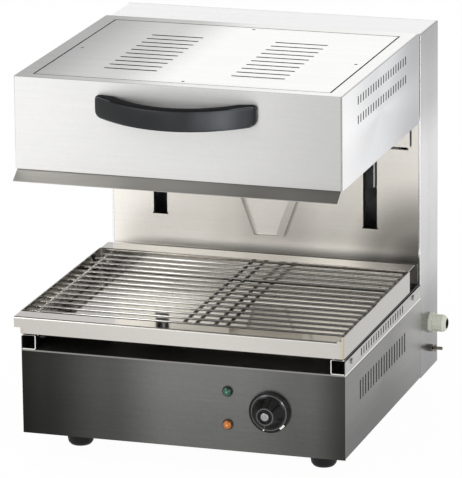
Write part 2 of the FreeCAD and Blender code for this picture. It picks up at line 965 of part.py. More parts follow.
arm_bolt_x = arm_x - arm_thickness / 2 - arm_flange / 2
arm_hood_bolt_levels = (arm_low + arm_bolt_inset, arm_high - arm_bolt_inset)
arm_carriage_bolt_levels = (arm_low + arm_bolt_inset * 0.75, carriage_top - arm_bolt_inset * 0.6)


def make_guide_rod():
    return round_bar(
        guide_rod_radius, Vector(guide_rod_x, rod_y, rod_low), Vector(guide_rod_x, rod_y, rod_high)
    )


def make_weight_rod():
    start = Vector(weight_rod_x, weight_rope_y, rod_low)
    return round_bar(weight_rod_radius, start, Vector(weight_rod_x, weight_rope_y, rod_high))


def make_mechanism_plate():
    """Plate under the top of the column that carries the guide rods and the pulleys."""
    y0 = column_front + sheet
    y1 = column_rear - 2 * sheet
    plate = box(-half + sheet, half - sheet, y0, y1, rod_high, rod_high + mechanism_plate_thickness)
    cuts = column_corner_cuts()
    notch_half = slot_width / 2 + 2 * sheet
    for side in (-1, 1):
        x = side * slot_centre_x
        cuts.append(box(x - notch_half, x + notch_half, y0 - 1, y0 + slot_flange_depth + 2, 0, column_top))
    return plate.cut(cuts)


def make_carriage():
    """Cross channel with a block at each end that holds the guide bush."""
    y0 = carriage_y
    web = box(-carriage_half_width, carriage_half_width, y0, y0 + carriage_web, carriage_low, carriage_top)
    rear = y0 + carriage_flange
    x = carriage_channel_half
    pieces = [
        web,
        box(-x, x, y0, rear, carriage_low, carriage_low + carriage_web),
        box(-x, x, y0, rear, carriage_top - carriage_web, carriage_top),
    ]
    cuts = []
    for side in (-1, 1):
        x = side * guide_rod_x
        pieces.append(
            box(
                x - bush_block_half, x + bush_block_half, y0, y0 + bush_block_depth, carriage_low,
                carriage_top
            )
        )
        start = Vector(x, rod_y, carriage_low - 1)
        cuts.append(
            round_bar(
                guide_rod_radius + bush_wall + running_gap, start, start + Z_AXIS * (carriage_height + 2)
            )
        )
        start = Vector(side * pulley_x, hood_rope_y, carriage_top - 6)
        cuts.append(
            polygon_bar(fastener_sides, ferrule_neck_radius + running_gap, start, start + Z_AXIS * 7)
        )
        for z in arm_carriage_bolt_levels:
            start = Vector(side * arm_bolt_x, y0 - 1, z)
            cuts.append(small_hole(arm_bolt_radius, start, start + Y_AXIS * (carriage_web + 2)))
    return join(pieces).cut(cuts)


def make_guide_bush():
    low = Vector(guide_rod_x, rod_y, carriage_low)
    high = Vector(guide_rod_x, rod_y, carriage_top)
    outer = round_bar(guide_rod_radius + bush_wall, low, high)
    return outer.cut(round_bar(guide_rod_radius + running_gap, low - Z_AXIS, high + Z_AXIS))


def make_lift_arm():
    """Right-hand arm: a plate through the slot with a flange on the hood and a flange on the carriage."""
    x0 = arm_x - arm_thickness / 2
    x1 = arm_x + arm_thickness / 2
    inner = x0 - arm_flange
    arm = join(
        [
            box(x0, x1, hood_rear, carriage_y, arm_low, arm_high),
            box(inner, x1, hood_rear, hood_rear + arm_thickness, arm_low, arm_high),
            box(inner, x1, carriage_y - arm_thickness, carriage_y, arm_low, carriage_top),
            box(x0, x1, carriage_y - arm_tail_depth, carriage_y, base_low + arm_tail_low, arm_low + 1),
        ]
    )
    cuts = []
    for z in arm_hood_bolt_levels:
        start = Vector(arm_bolt_x, hood_rear - 2, z)
        cuts.append(small_hole(arm_bolt_radius, start, start + Y_AXIS * 8))
    for z in arm_carriage_bolt_levels:
        start = Vector(arm_bolt_x, carriage_y - 6, z)
        cuts.append(small_hole(arm_bolt_radius, start, start + Y_AXIS * 8))
    return arm.cut(cuts)


def make_arm_bolts():
    bolts = []
    stacks = [(z, hood_rear + arm_thickness, Y_AXIS, arm_thickness + sheet) for z in arm_hood_bolt_levels]
    stacks += [
        (z, carriage_y - arm_thickness, -Y_AXIS, arm_thickness + carriage_web)
        for z in arm_carriage_bolt_levels
    ]
    for z, seat_y, direction, grip in stacks:
        seat = Vector(arm_bolt_x, seat_y, z)
        bolts.append(
            bolt_and_nut(
                arm_bolt_radius, arm_bolt_head_radius, arm_bolt_head_height,
                seat, direction, grip, arm_nut_radius, nut_height
            )
        )
    return Part.makeCompound(bolts + [mirrored(b) for b in bolts])


def make_pulley(side):
    """Grooved pulley on its axle; the rope lies in the groove with a small clearance."""
    centre = Vector(side * pulley_x, pulley_y, pulley_z)
    groove = pulley_pitch_radius - 2 * rope_radius
    face = pulley_width / 2
    rings = [(-face, pulley_flange_radius), (0, groove), (face, pulley_flange_radius)]
    reach = X_AXIS * (face + 1)
    bore = polygon_bar(head_sides, pulley_axle_radius + running_gap, centre - reach, centre + reach)
    return turned_bar(rings, centre, X_AXIS).cut(bore)


pulley_bracket_inside = pulley_width / 2 + pulley_bracket_gap


def make_pulley_axle():
    reach = pulley_bracket_inside + pulley_bracket_thickness + 1.5
    start = Vector(pulley_x - reach, pulley_y, pulley_z)
    return round_bar(pulley_axle_radius, start, start + X_AXIS * 2 * reach)


def make_pulley_bracket():
    """Upside-down U under the mechanism plate."""
    low = pulley_z - pulley_bracket_half
    y0 = pulley_y - pulley_bracket_half
    y1 = pulley_y + pulley_bracket_half
    inside = pulley_bracket_inside
    outside = inside + pulley_bracket_thickness
    outer = box(pulley_x - outside, pulley_x + outside, y0, y1, low, rod_high)
    gap = box(
        pulley_x - inside, pulley_x + inside, y0 - 1, y1 + 1, low - 1,
        rod_high - pulley_bracket_thickness
    )
    start = Vector(pulley_x - outside - 1, pulley_y, pulley_z)
    bore = polygon_bar(fastener_sides, pulley_axle_radius + 0.02, start, start + X_AXIS * 2 * (outside + 1))
    return outer.cut([gap, bore])


def make_rope_over_pulley():
    """Half turn of rope that lies in the groove."""
    centre = Vector(pulley_x, pulley_y, pulley_z)
    start = Vector(pulley_x, hood_rope_y, pulley_z)
    section = polygon_points(fastener_sides, rope_radius, start, Z_AXIS)
    return turned_bend(section, centre, X_AXIS, -180, 4 * quarter_steps)


def rope_run(y, low):
    start = Vector(pulley_x, y, low)
    return polygon_bar(fastener_sides, rope_radius, start, Vector(pulley_x, y, pulley_z))


def make_carriage_ferrule():
    top = Vector(pulley_x, hood_rope_y, carriage_top)
    seat = top - Z_AXIS * carriage_web
    neck = polygon_bar(fastener_sides, ferrule_neck_radius, seat, top)
    barrel = polygon_bar(fastener_sides, ferrule_radius, seat - Z_AXIS * ferrule_height, seat)
    return join([neck, barrel])


def make_weight_ferrule():
    low = Vector(pulley_x, weight_rope_y, weight_high)
    barrel = polygon_bar(fastener_sides, ferrule_radius, low, low + Z_AXIS * ferrule_height)
    stem = polygon_bar(fastener_sides, ferrule_neck_radius, low - Z_AXIS * ferrule_stem, low)
    return join([barrel, stem])


def make_counterweight():
    y0 = weight_rope_y - weight_depth / 2
    y1 = weight_rope_y + weight_depth / 2
    block = box(-weight_half_width, weight_half_width, y0, y1, weight_low, weight_high)
    uprights = [e for e in block.Edges if e.BoundBox.ZLength > weight_height / 2]
    block = block.makeChamfer(3.0, uprights)
    cuts = []
    for side in (-1, 1):
        start = Vector(side * weight_rod_x, weight_rope_y, weight_low - 1)
        cuts.append(round_bar(weight_rod_radius + running_gap, start, start + Z_AXIS * (weight_height + 2)))
        start = Vector(side * pulley_x, weight_rope_y, weight_high - ferrule_stem - 0.1)
        cuts.append(
            polygon_bar(fastener_sides, ferrule_neck_radius + running_gap, start, start + Z_AXIS * 20)
        )
    return block.cut(cuts)


# Hood

cover_half = half - hood_side_flange - cover_gap
cover_front = hood_front + hood_front_flange + cover_front_gap
cover_rear = hood_rear - hood_rear_flange - cover_gap


def hood_liner(low, high):
    """Plate that fills the hood from wall to wall between two levels, its front corners rounded to fit."""
    plate = box(-half + sheet, half - sheet, hood_front + sheet, hood_rear - sheet, low, high)
    corners = [
        e for e in plate.Edges if e.BoundBox.XLength + e.BoundBox.YLength < 0.01 and e.BoundBox.YMax < 0
    ]
    return plate.makeFillet(bend_radius + 0.2, corners)


def cover_screw_places():
    return [
        (-cover_side_screw_x, cover_side_screw_y),
        (cover_side_screw_x, cover_side_screw_y),
        (0, cover_front + cover_end_screw_inset),
        (0, cover_rear - cover_end_screw_inset),
    ]


def make_hood_shell():
    """Front and sides bent from one sheet, with the flanges that frame the top cover."""
    skin = [(-half, hood_rear - sheet), (-half, hood_front), (half, hood_front), (half, hood_rear - sheet)]
    walls = folded_sheet_z(skin, sheet, hood_low, hood_top)
    flanges = hood_liner(hood_top - sheet, hood_top)
    behind = box(-half, half, hood_rear - sheet, hood_rear, hood_top - sheet, hood_top)
    window = box(
        -half + hood_side_flange,
        half - hood_side_flange,
        hood_front + hood_front_flange,
        hood_rear - hood_rear_flange,
        hood_top - 5,
        hood_top + 5,
    )
    cuts = [window]
    for row in (hood_vent_high_row, hood_vent_low_row):
        low = hood_low + row
        cuts += side_vents(
            hood_vent_count, hood_vent_pitch, hood_vent_start_y, hood_vent_width,
            low, low + hood_vent_height
        )
    for x in (-handle_screw_x, handle_screw_x):
        start = Vector(x, hood_front - 2, handle_screw_z)
        cuts.append(small_hole(handle_screw_radius, start, start + Y_AXIS * 6))
    return join([walls, flanges, behind]).cut(cuts)


def make_hood_rear_wall():
    y1 = hood_rear
    y0 = hood_rear - sheet
    wall = box(-half, half, y0, y1, hood_low, hood_top - sheet)
    low_flange = box(-half + 2 * sheet, half - 2 * sheet, y0 - flange, y1, hood_low, hood_low + sheet)
    cuts = []
    for side in (-1, 1):
        for z in arm_hood_bolt_levels:
            start = Vector(side * arm_bolt_x, y0 - 2, z)
            cuts.append(small_hole(arm_bolt_radius, start, start + Y_AXIS * 6))
    return join([wall, low_flange]).cut(cuts)


def make_cover_ledge():
    """Frame welded under the top flanges, on which the top cover lies."""
    high = hood_top - sheet
    low = high - sheet
    plate = hood_liner(low, high)
    x = cover_half - cover_ledge
    opening = box(-x, x, cover_front + cover_ledge, cover_rear - cover_ledge, low - 1, high + 1)
    for screw_x, screw_y in cover_screw_places():
        reach = cover_lug
        opening = opening.cut(
            box(screw_x - reach, screw_x + reach, screw_y - reach, screw_y + reach, low - 2, high + 2)
        )
    holes = []
    for x, y in cover_screw_places():
        start = Vector(x, y, low - 2)
        holes.append(
            polygon_bar(fastener_sides, cover_screw_radius + running_gap, start, start + Z_AXIS * 6)
        )
    return plate.cut([opening] + holes)


def make_top_cover():
    low = hood_top - sheet
    plate = box(-cover_half, cover_half, cover_front, cover_rear, low, hood_top)
    cuts = []
    corner = cover_slot_width * 0.3
    for side in (-1, 1):
        x0 = min(side * cover_slot_inner_x, side * cover_slot_outer_x)
        x1 = max(side * cover_slot_inner_x, side * cover_slot_outer_x)
        for index in range(cover_slot_count):
            y0 = cover_slot_first_y + index * cover_slot_pitch - cover_slot_width / 2
            slot = box(x0, x1, y0, y0 + cover_slot_width, low - 1, hood_top + 1)
            cuts.append(slot.makeChamfer(corner, [e for e in slot.Edges if e.BoundBox.ZLength > 1]))
    for x, y in cover_screw_places():
        start = Vector(x, y, low - 2)
        cuts.append(small_hole(cover_screw_radius, start, start + Z_AXIS * 6))
    return plate.cut(cuts)


def make_cover_screws():
    return Part.makeCompound([cover_screw(Vector(x, y, hood_top), Z_AXIS) for x, y in cover_screw_places()])


def make_front_lip():
    """Drip lip behind the lower edge of the hood front, flared forward and down."""
    y0 = hood_front + sheet
    skin = [
        (y0, hood_low + lip_tail),
        (y0, hood_low - 0.3),
        (hood_front - lip_reach, hood_low - lip_drop),
    ]
    x = half - bend_radius - sheet
    return folded_sheet_x(skin, sheet, -x, x, 0.6)


def make_reflector():
    """Folded pan, open downward, with a rim that reaches the hood walls."""
    x = half - reflector_side_inset
    y0 = hood_front + reflector_end_inset
    y1 = hood_rear - reflector_end_inset
    wall = thin_sheet
    block = box(-x, x, y0, y1, reflector_low, reflector_high)
    upper = [e for e in block.Edges if e.BoundBox.ZMin > reflector_high - 0.01]
    block = block.makeChamfer(reflector_slope, upper)
    hollow = box(-x + wall, x - wall, y0 + wall, y1 - wall, reflector_low - 1, reflector_high - wall)
    upper = [e for e in hollow.Edges if e.BoundBox.ZMin > reflector_high - wall - 0.01]
    hollow = hollow.makeChamfer(reflector_slope, upper)
    rim = hood_liner(reflector_low, reflector_low + wall)
    cuts = [hollow]
    for end_x in element_ends():
        start = Vector(end_x, y1 - 5, element_z)
        cuts.append(polygon_bar(6, fitting_neck_radius + hole_gap, start, start + Y_AXIS * 10))
    return join([block, rim]).cut(cuts)


def element_ends():
    reach = (element_runs - 1) * element_run_pitch / 2
    return [side * element_offset_x + end * reach for side in (-1, 1) for end in (-1, 1)]


def make_insulation():
    x = half - reflector_side_inset - reflector_slope
    y0 = hood_front + reflector_end_inset + reflector_slope
    y1 = hood_rear - reflector_end_inset - reflector_slope
    low = reflector_high + body_gap
    return box(-x, x, y0, y1, low, low + insulation_thickness)


def make_heating_element(side):
    """Tube bent to and fro, with both cold ends through the rear wall of the reflector."""
    first_x = side * element_offset_x - (element_runs - 1) * element_run_pitch / 2
    bend = element_run_pitch / 2
    front = hood_front + element_front_inset + bend
    rear = hood_rear - element_rear_inset - bend
    end = hood_rear - reflector_end_inset + element_cold_end
    pieces = []
    for run in range(element_runs):
        x = first_x + run * element_run_pitch
        outermost = run in (0, element_runs - 1)
        start = Vector(x, front, element_z)
        stop = Vector(x, end if outermost else rear, element_z)
        pieces.append(polygon_bar(fastener_sides, element_radius, start, stop))
        if run < element_runs - 1:
            at_front = run % 2 == 0
            y = front if at_front else rear
            centre = Vector(x + bend, y, element_z)
            section = polygon_points(fastener_sides, element_radius, Vector(x, y, element_z), Y_AXIS)
            turn = 180 if at_front else -180
            pieces.append(turned_bend(section, centre, Z_AXIS, turn, 2 * quarter_steps))
    return join(pieces)


def make_element_fittings():
    """Hexagonal fittings that hold the element ends in the rear wall of the reflector."""
    fittings = []
    y1 = hood_rear - reflector_end_inset
    for x in element_ends():
        seat = Vector(x, y1, element_z)
        collar = polygon_bar(6, fitting_collar_radius, seat, seat + Y_AXIS * 4)
        neck = polygon_bar(6, fitting_neck_radius, seat - Y_AXIS * 4, seat)
        bore = polygon_bar(
            fastener_sides, element_radius + running_gap, seat - Y_AXIS * 9, seat + Y_AXIS * 9
        )
        fittings.append(join([collar, neck]).cut(bore))
    return Part.makeCompound(fittings)


def make_element_supports():
    """Bars across the reflector just under the element tubes."""
    top = element_z - element_radius
    reach = half - reflector_side_inset - thin_sheet
    supports = []
    for y in (hood_front + element_support_inset, hood_rear - element_support_inset):
        y0 = y - element_support_width / 2
        supports.append(
            box(-reach, reach, y0, y0 + element_support_width, top - element_support_height, top)
        )
    return Part.makeCompound(supports)


# Handle

handle_screw_x = handle_half_width - handle_pad / 2
handle_screw_z = hood_low + handle_end_low + handle_bar_height / 2


def make_handle():
    """Bow handle: the bow of the plan and the shallow smile of the front view, cut out of one block."""
    wall = hood_front
    front = wall - handle_reach
    inner = front + handle_thickness
    end = handle_half_width
    pad = end - handle_pad
    low = hood_low + handle_end_low - handle_sag - 5
    shoulder = wall - handle_end_thickness
    plan = Part.Wire(
        [
            Part.LineSegment(Vector(-end, wall, low), Vector(-end, shoulder, low)).toShape(),
            Part.Arc(
                Vector(-end, shoulder, low), Vector(0, front, low), Vector(end, shoulder, low)
            ).toShape(),
            Part.LineSegment(Vector(end, shoulder, low), Vector(end, wall, low)).toShape(),
            Part.LineSegment(Vector(end, wall, low), Vector(pad, wall, low)).toShape(),
            Part.Arc(Vector(pad, wall, low), Vector(0, inner, low), Vector(-pad, wall, low)).toShape(),
            Part.LineSegment(Vector(-pad, wall, low), Vector(-end, wall, low)).toShape(),
        ]
    )
    bow = Part.Face(plan).extrude(Z_AXIS * (handle_bar_height + handle_sag + 20))
    z_end = hood_low + handle_end_low
    z_mid = z_end - handle_sag
    tall = handle_bar_height
    wide = end
    y0 = front - 5
    smile = Part.Wire(
        [
            Part.Arc(Vector(-wide, y0, z_end), Vector(0, y0, z_mid), Vector(wide, y0, z_end)).toShape(),
            Part.LineSegment(Vector(wide, y0, z_end), Vector(wide, y0, z_end + tall)).toShape(),
            Part.Arc(
                Vector(wide, y0, z_end + tall), Vector(0, y0, z_mid + tall), Vector(-wide, y0, z_end + tall)
            ).toShape(),
            Part.LineSegment(Vector(-wide, y0, z_end + tall), Vector(-wide, y0, z_end)).toShape(),
        ]
    )
    front_view = Part.Face(smile).extrude(Y_AXIS * (handle_reach + 10))
    corners = [e for e in front_view.Edges if e.BoundBox.YLength > handle_reach]
    handle = bow.common(front_view.makeFillet(handle_corner, corners))
    rounded = [e for e in handle.Edges if e.BoundBox.YMin < wall - 1 and e.BoundBox.XLength > 50]
    handle = handle.makeChamfer(handle_edge, rounded)
    cuts = []
    for x in (-handle_screw_x, handle_screw_x):
        start = Vector(x, wall - handle_screw_depth - 1, handle_screw_z)
        cuts.append(
            polygon_bar(
                fastener_sides, handle_screw_radius + running_gap, start, Vector(x, wall + 1, start.z)
            )
        )
    return handle.cut(cuts)


def make_handle_screws():
    screws = []
    for x in (-handle_screw_x, handle_screw_x):
        seat = Vector(x, hood_front + sheet, handle_screw_z)
        length = handle_screw_depth + sheet
        screws.append(screw(handle_screw_radius, handle_screw_head_radius, 2.6, seat, Y_AXIS, length))
    return Part.makeCompound(screws)


# Controls

knob_near = knob_panel_gap
knob_tip = knob_near + knob_length
knob_seat = knob_tip - knob_cap_depth
knob_centre = Vector(knob_x, 0, knob_z)


def make_knob():
    """Dial with a bevelled skirt, a step and a conical grip."""
    skirt = knob_near + knob_skirt_height
    rings = [
        (knob_near, knob_skirt_radius),
        (skirt - knob_skirt_bevel, knob_skirt_radius),
        (skirt, knob_step_radius),
        (skirt + knob_step_height, knob_cone_radius),
        (knob_tip, knob_nose_radius),
    ]
    ahead = knob_centre - Y_AXIS * (knob_tip + 1)
    bore = round_bar(spindle_radius + knob_press, knob_centre, ahead)
    recess = round_bar(knob_cap_radius + knob_cap_gap, knob_centre - Y_AXIS * knob_seat, ahead)
    return turned_bar(rings, knob_centre, -Y_AXIS, knob_sides).cut([bore, recess])


def make_knob_cap():
    """Metal disc with a small bevel, let into the nose of the knob."""
    proud = knob_tip + knob_cap_proud
    rings = [
        (knob_seat, knob_cap_radius),
        (knob_tip, knob_cap_radius),
        (proud, knob_cap_radius - knob_cap_bevel),
    ]
    return turned_bar(rings, knob_centre, -Y_AXIS)


def make_knob_spindle():
    return round_bar(
        spindle_radius, Vector(knob_x, -knob_seat, knob_z),
        Vector(knob_x, sheet + spindle_reach, knob_z)
    )


def make_regulator():
    """Rotary heat regulator behind the panel, with the bushing that holds it and its flat terminals."""
    back = sheet + regulator_depth
    reach = regulator_width / 2
    case = box(knob_x - reach, knob_x + reach, sheet, back, knob_z - reach, knob_z + reach)
    case = case.makeChamfer(3.0, [e for e in case.Edges if e.BoundBox.YLength > 5])
    pieces = [
        case,
        round_bar(
            regulator_bushing_radius, Vector(knob_x, 0, knob_z), Vector(knob_x, sheet + 1, knob_z)
        )
    ]
    for row in (-1, 1):
        for column in (-1, 0, 1):
            x = knob_x + column * reach / 2
            z = knob_z + row * reach * 0.55
            pieces.append(box(x - 3.0, x + 3.0, back, back + 8, z - 0.4, z + 0.4))
    bore = round_bar(
        spindle_radius + running_gap, Vector(knob_x, -2, knob_z),
        Vector(knob_x, sheet + spindle_reach + 1, knob_z)
    )
    return join(pieces).cut(bore)


def make_lamp_body(height):
    """Barrel, front flange and nut of one indicator lamp."""
    z = base_low + height
    front = Vector(lamp_x, -lamp_flange, z)
    pieces = [
        polygon_bar(fastener_sides, lamp_body_radius, front, Vector(lamp_x, lamp_body_length, z)),
        round_bar(lamp_lens_radius, front, Vector(lamp_x, 0, z)),
        polygon_bar(6, lamp_body_radius + 2.5, Vector(lamp_x, sheet, z), Vector(lamp_x, sheet + 3, z)),
    ]
    return join(pieces)


def make_lamp_lens(height):
    """Low dome of one indicator lamp."""
    radius = lamp_lens_radius
    tall = lamp_lens_height
    rings = [
        (lamp_flange, radius),
        (lamp_flange + tall * 0.6, radius * 0.8),
        (lamp_flange + tall, radius * 0.3),
    ]
    return turned_bar(rings, Vector(lamp_x, 0, base_low + height), -Y_AXIS)


# Supply entry

gland_seat = Vector(half, gland_world_y, gland_z)


def make_gland_body():
    """Threaded tube through the column wall, with a hexagon outside."""
    inner = gland_seat - X_AXIS * gland_inner_length
    hexagon_end = gland_seat + X_AXIS * gland_hex_length
    spigot_end = hexagon_end + X_AXIS * gland_spigot_length
    pieces = [
        round_bar(gland_thread_radius, inner, gland_seat),
        polygon_bar(6, gland_hex_radius, gland_seat, hexagon_end),
        polygon_bar(head_sides, gland_thread_radius - 0.6, hexagon_end, spigot_end),
    ]
    bore = polygon_bar(head_sides, gland_seal_radius + 0.05, inner - X_AXIS, spigot_end + X_AXIS)
    return join(pieces).cut(bore)


def make_gland_cap():
    """Dome nut that squeezes the seal round a cable."""
    start = gland_seat + X_AXIS * gland_hex_length
    rings = [
        (0, gland_cap_radius),
        (gland_cap_length - 5, gland_cap_radius),
        (gland_cap_length, gland_cap_radius - 4.0),
    ]
    thread_end = start + X_AXIS * (gland_spigot_length + 0.2)
    thread = polygon_bar(head_sides, gland_thread_radius, start - X_AXIS, thread_end)
    mouth = polygon_bar(
        head_sides, gland_seal_radius + running_gap, start, start + X_AXIS * (gland_cap_length + 1)
    )
    return turned_bar(rings, start, X_AXIS).cut([thread, mouth])


def make_gland_seal():
    start = gland_seat + X_AXIS
    end = gland_seat + X_AXIS * (gland_hex_length + gland_cap_length + gland_seal_proud)
    bore = round_bar(gland_bore_radius, start - X_AXIS, end + X_AXIS)
    return polygon_bar(head_sides, gland_seal_radius, start, end).cut(bore)


def make_gland_locknut():
    end = gland_seat - X_AXIS * sheet
    start = end - X_AXIS * locknut_length
    bore = round_bar(gland_thread_radius + 0.02, start - X_AXIS, end + X_AXIS)
    return polygon_bar(6, locknut_radius, start, end).cut(bore)


def make_earth_stud():
    """Stud through the wall, with a run-out groove where the free end starts."""
    inner = Vector(half - sheet - stud_inner_length, gland_world_y, stud_z)
    outer = Vector(half + stud_length, gland_world_y, stud_z)
    groove = outer - X_AXIS * (stud_free_length + stud_groove_width)
    shank = round_bar(stud_radius, inner, groove)
    neck = round_bar(stud_groove_radius, groove, groove + X_AXIS * stud_groove_width)
    return join([shank, neck, round_bar(stud_radius, groove + X_AXIS * stud_groove_width, outer)])


def make_earth_nuts():
    """Inner nut, washer and the two outer nuts of the earth stud."""
    washer = 1.0
    inside = half - sheet
    stations = [
        (6, stud_nut_radius, inside - nut_height, inside),
        (head_sides, stud_washer_radius, half, half + washer),
        (6, stud_nut_radius, half + washer, half + washer + 3.6),
        (6, stud_nut_radius - 0.4, half + washer + 5.0, half + washer + 8.4),
    ]
    rings = []
    for sides, radius, x0, x1 in stations:
        start = Vector(x0, gland_world_y, stud_z)
        end = Vector(x1, gland_world_y, stud_z)
        bore = polygon_bar(fastener_sides, stud_radius + 0.02, start - X_AXIS, end + X_AXIS)
        rings.append(polygon_bar(sides, radius, start, end).cut(bore))
    return Part.makeCompound(rings)


def make_terminal_block():
    """Strip of wire clamps on the floor of the base, with a wall between each two ways."""
    x0 = terminal_block_x - terminal_block_length / 2
    y0 = terminal_block_y - terminal_block_width / 2
    y1 = terminal_block_y + terminal_block_width / 2
    low = base_low + sheet
    high = low + terminal_block_height
    block = box(x0, x0 + terminal_block_length, y0, y1, low, high)
    cuts = []
    pitch = terminal_block_length / terminal_ways
    for index in range(terminal_ways):
        x = x0 + pitch * (index + 0.5)
        reach = pitch * 0.35
        for y in (y0, y1 - 8):
            cuts.append(box(x - reach, x + reach, y - 1, y + 9, high - 9, high + 1))
    return block.cut(cuts)


nodes = {
    "rubber_feet": Part.makeCompound([make_rubber_foot(x, y) for x, y in foot_places]),
    "foot_screws": Part.makeCompound([make_foot_screw(x, y) for x, y in foot_places]),
    "foot_nuts": Part.makeCompound([make_foot_nut(x, y) for x, y in foot_places]),
    "base_shell": make_base_shell(),
    "control_panel": make_control_panel(),
    "deck_plate": make_deck_plate(),
    "rail_channels": pair(make_rail_channel()),
    "rail_vent_strips": pair(make_rail_strip()),
    "rail_screws": make_rail_screws(),
    "drip_tray": make_drip_tray(),
    "wire_grid": make_wire_grid(),
    "column_shell": make_column_shell(),
    "column_front_panel": make_column_front(),
    "column_floor": make_column_floor(),
    "rear_cover": make_rear_cover(),
    "rear_cover_screws": make_rear_cover_screws(),
    "guide_rods": pair(make_guide_rod()),
    "weight_guide_rods": pair(make_weight_rod()),
    "mechanism_plate": make_mechanism_plate(),
    "carriage": make_carriage(),
    "guide_bushes": pair(make_guide_bush()),
    "lift_arms": pair(make_lift_arm()),
    "arm_bolts": make_arm_bolts(),
    "pulley_left": make_pulley(-1),
    "pulley_right": make_pulley(1),
    "pulley_axles": pair(make_pulley_axle()),
    "pulley_brackets": pair(make_pulley_bracket()),
    "ropes_over_pulleys": pair(make_rope_over_pulley()),
    "ropes_to_carriage": pair(rope_run(hood_rope_y, carriage_top)),
    "ropes_to_counterweight": pair(rope_run(weight_rope_y, weight_high + ferrule_height)),
    "carriage_rope_ferrules": pair(make_carriage_ferrule()),
    "counterweight_rope_ferrules": pair(make_weight_ferrule()),
    "counterweight": make_counterweight(),
    "hood_shell": make_hood_shell(),
    "hood_rear_wall": make_hood_rear_wall(),
    "cover_ledge_frame": make_cover_ledge(),
    "hood_top_cover": make_top_cover(),
    "top_cover_screws": make_cover_screws(),
    "hood_front_lip": make_front_lip(),
    "reflector": make_reflector(),
    "insulation_blanket": make_insulation(),
    "heating_elements": Part.makeCompound([make_heating_element(-1), make_heating_element(1)]),
    "element_fittings": make_element_fittings(),
    "element_supports": make_element_supports(),
    "handle": make_handle(),
    "handle_screws": make_handle_screws(),
    "control_knob": make_knob(),
    "knob_cap": make_knob_cap(),
    "knob_spindle": make_knob_spindle(),
    "heat_regulator": make_regulator(),
    "lamp_bodies": Part.makeCompound(
        [make_lamp_body(power_lamp_height), make_lamp_body(heating_lamp_height)]
    ),
    "power_lamp_lens": make_lamp_lens(power_lamp_height),
    "heating_lamp_lens": make_lamp_lens(heating_lamp_height),
    "cable_gland": make_gland_body(),
    "gland_cap": make_gland_cap(),
    "gland_seal": make_gland_seal(),
    "gland_locknut": make_gland_locknut(),
    "earth_stud": make_earth_stud(),
    "earth_nuts": make_earth_nuts(),
    "terminal_block": make_terminal_block(),
}

# Origin at the bottom centre of the bounding box: the gland reaches furthest to the right, the rail
# screws to the left, the handle forward and the rear screw heads back.
reach_right = half + gland_hex_length + gland_cap_length + gland_seal_proud
reach_left = -half - rail_screw_head_height
reach_front = hood_front - handle_reach
reach_rear = column_rear + cover_screw_head_height
to_origin = Vector(-(reach_right + reach_left) / 2, -(reach_front + reach_rear) / 2, 0)

os.makedirs("parts", exist_ok=True)
for name, shape in nodes.items():
    shape.translate(to_origin)
    shape.exportStep("parts/" + name + ".step")

print("origin shift", to_origin, "nodes", len(nodes))
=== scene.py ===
"""Looks of the rise-and-fall salamander grill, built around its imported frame.

The frame's axes: +X to the right seen from the front, +Y to the back, +Z up, in metres,
with the origin on the surface that the feet stand on.
"""

import json
import math

import bmesh
import bpy
from mathutils import Matrix, Vector


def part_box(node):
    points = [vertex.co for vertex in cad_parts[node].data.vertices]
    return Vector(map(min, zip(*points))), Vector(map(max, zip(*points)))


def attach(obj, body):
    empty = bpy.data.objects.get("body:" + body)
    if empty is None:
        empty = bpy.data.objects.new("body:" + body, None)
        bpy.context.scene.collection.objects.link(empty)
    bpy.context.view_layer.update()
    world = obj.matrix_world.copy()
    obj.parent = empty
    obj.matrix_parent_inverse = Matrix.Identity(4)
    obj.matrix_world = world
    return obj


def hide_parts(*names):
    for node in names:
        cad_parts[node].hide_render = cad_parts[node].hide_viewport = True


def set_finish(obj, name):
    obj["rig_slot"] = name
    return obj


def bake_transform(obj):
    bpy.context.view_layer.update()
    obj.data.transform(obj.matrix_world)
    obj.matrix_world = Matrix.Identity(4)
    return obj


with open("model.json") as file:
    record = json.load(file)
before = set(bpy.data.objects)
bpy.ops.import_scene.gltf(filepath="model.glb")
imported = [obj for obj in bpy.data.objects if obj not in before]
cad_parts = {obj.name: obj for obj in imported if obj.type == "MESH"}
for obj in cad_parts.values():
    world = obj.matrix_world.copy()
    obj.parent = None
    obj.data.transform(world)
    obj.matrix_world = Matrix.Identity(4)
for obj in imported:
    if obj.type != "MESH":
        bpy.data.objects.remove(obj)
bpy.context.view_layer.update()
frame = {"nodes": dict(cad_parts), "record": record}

MM = 0.001
NODES = frame["nodes"]
X = Vector((1, 0, 0))
Y = Vector((0, 1, 0))
Z = Vector((0, 0, 1))
TURN = 2 * math.pi
WHITE = (1.0, 1.0, 1.0)
CORNERS = ((-1, -1), (1, -1), (1, 1), (-1, 1))


def add_object(name, data):
    item = bpy.data.objects.new(name, data)
    bpy.context.scene.collection.objects.link(item)
    return item


# Camera: the photograph's viewpoint, a long lens from the front right and above

CAMERA_PLACE = Vector((1.7687, -5.5695, 1.8989))
YAW = math.radians(-17.685)
PITCH = math.radians(15.601)
ROLL = math.radians(-0.619)
LENS = 336.83
SENSOR = 36.0


def make_camera():
    flat = math.cos(PITCH)
    look = Vector((math.sin(YAW) * flat, math.cos(YAW) * flat, -math.sin(PITCH)))
    level = Vector((math.cos(YAW), -math.sin(YAW), 0))
    up = level.cross(look)
    right = math.cos(ROLL) * level + math.sin(ROLL) * up
    top = math.cos(ROLL) * up - math.sin(ROLL) * level
    data = bpy.data.cameras.new("camera")
    data.sensor_fit = "VERTICAL"
    data.sensor_height = SENSOR
    data.lens = LENS
    data.clip_start = 0.05
    data.clip_end = 60
    camera = add_object("camera", data)
    turn = Matrix((right, top, -look)).transposed().to_4x4()
    camera.matrix_world = Matrix.Translation(CAMERA_PLACE) @ turn
    bpy.context.scene.camera = camera


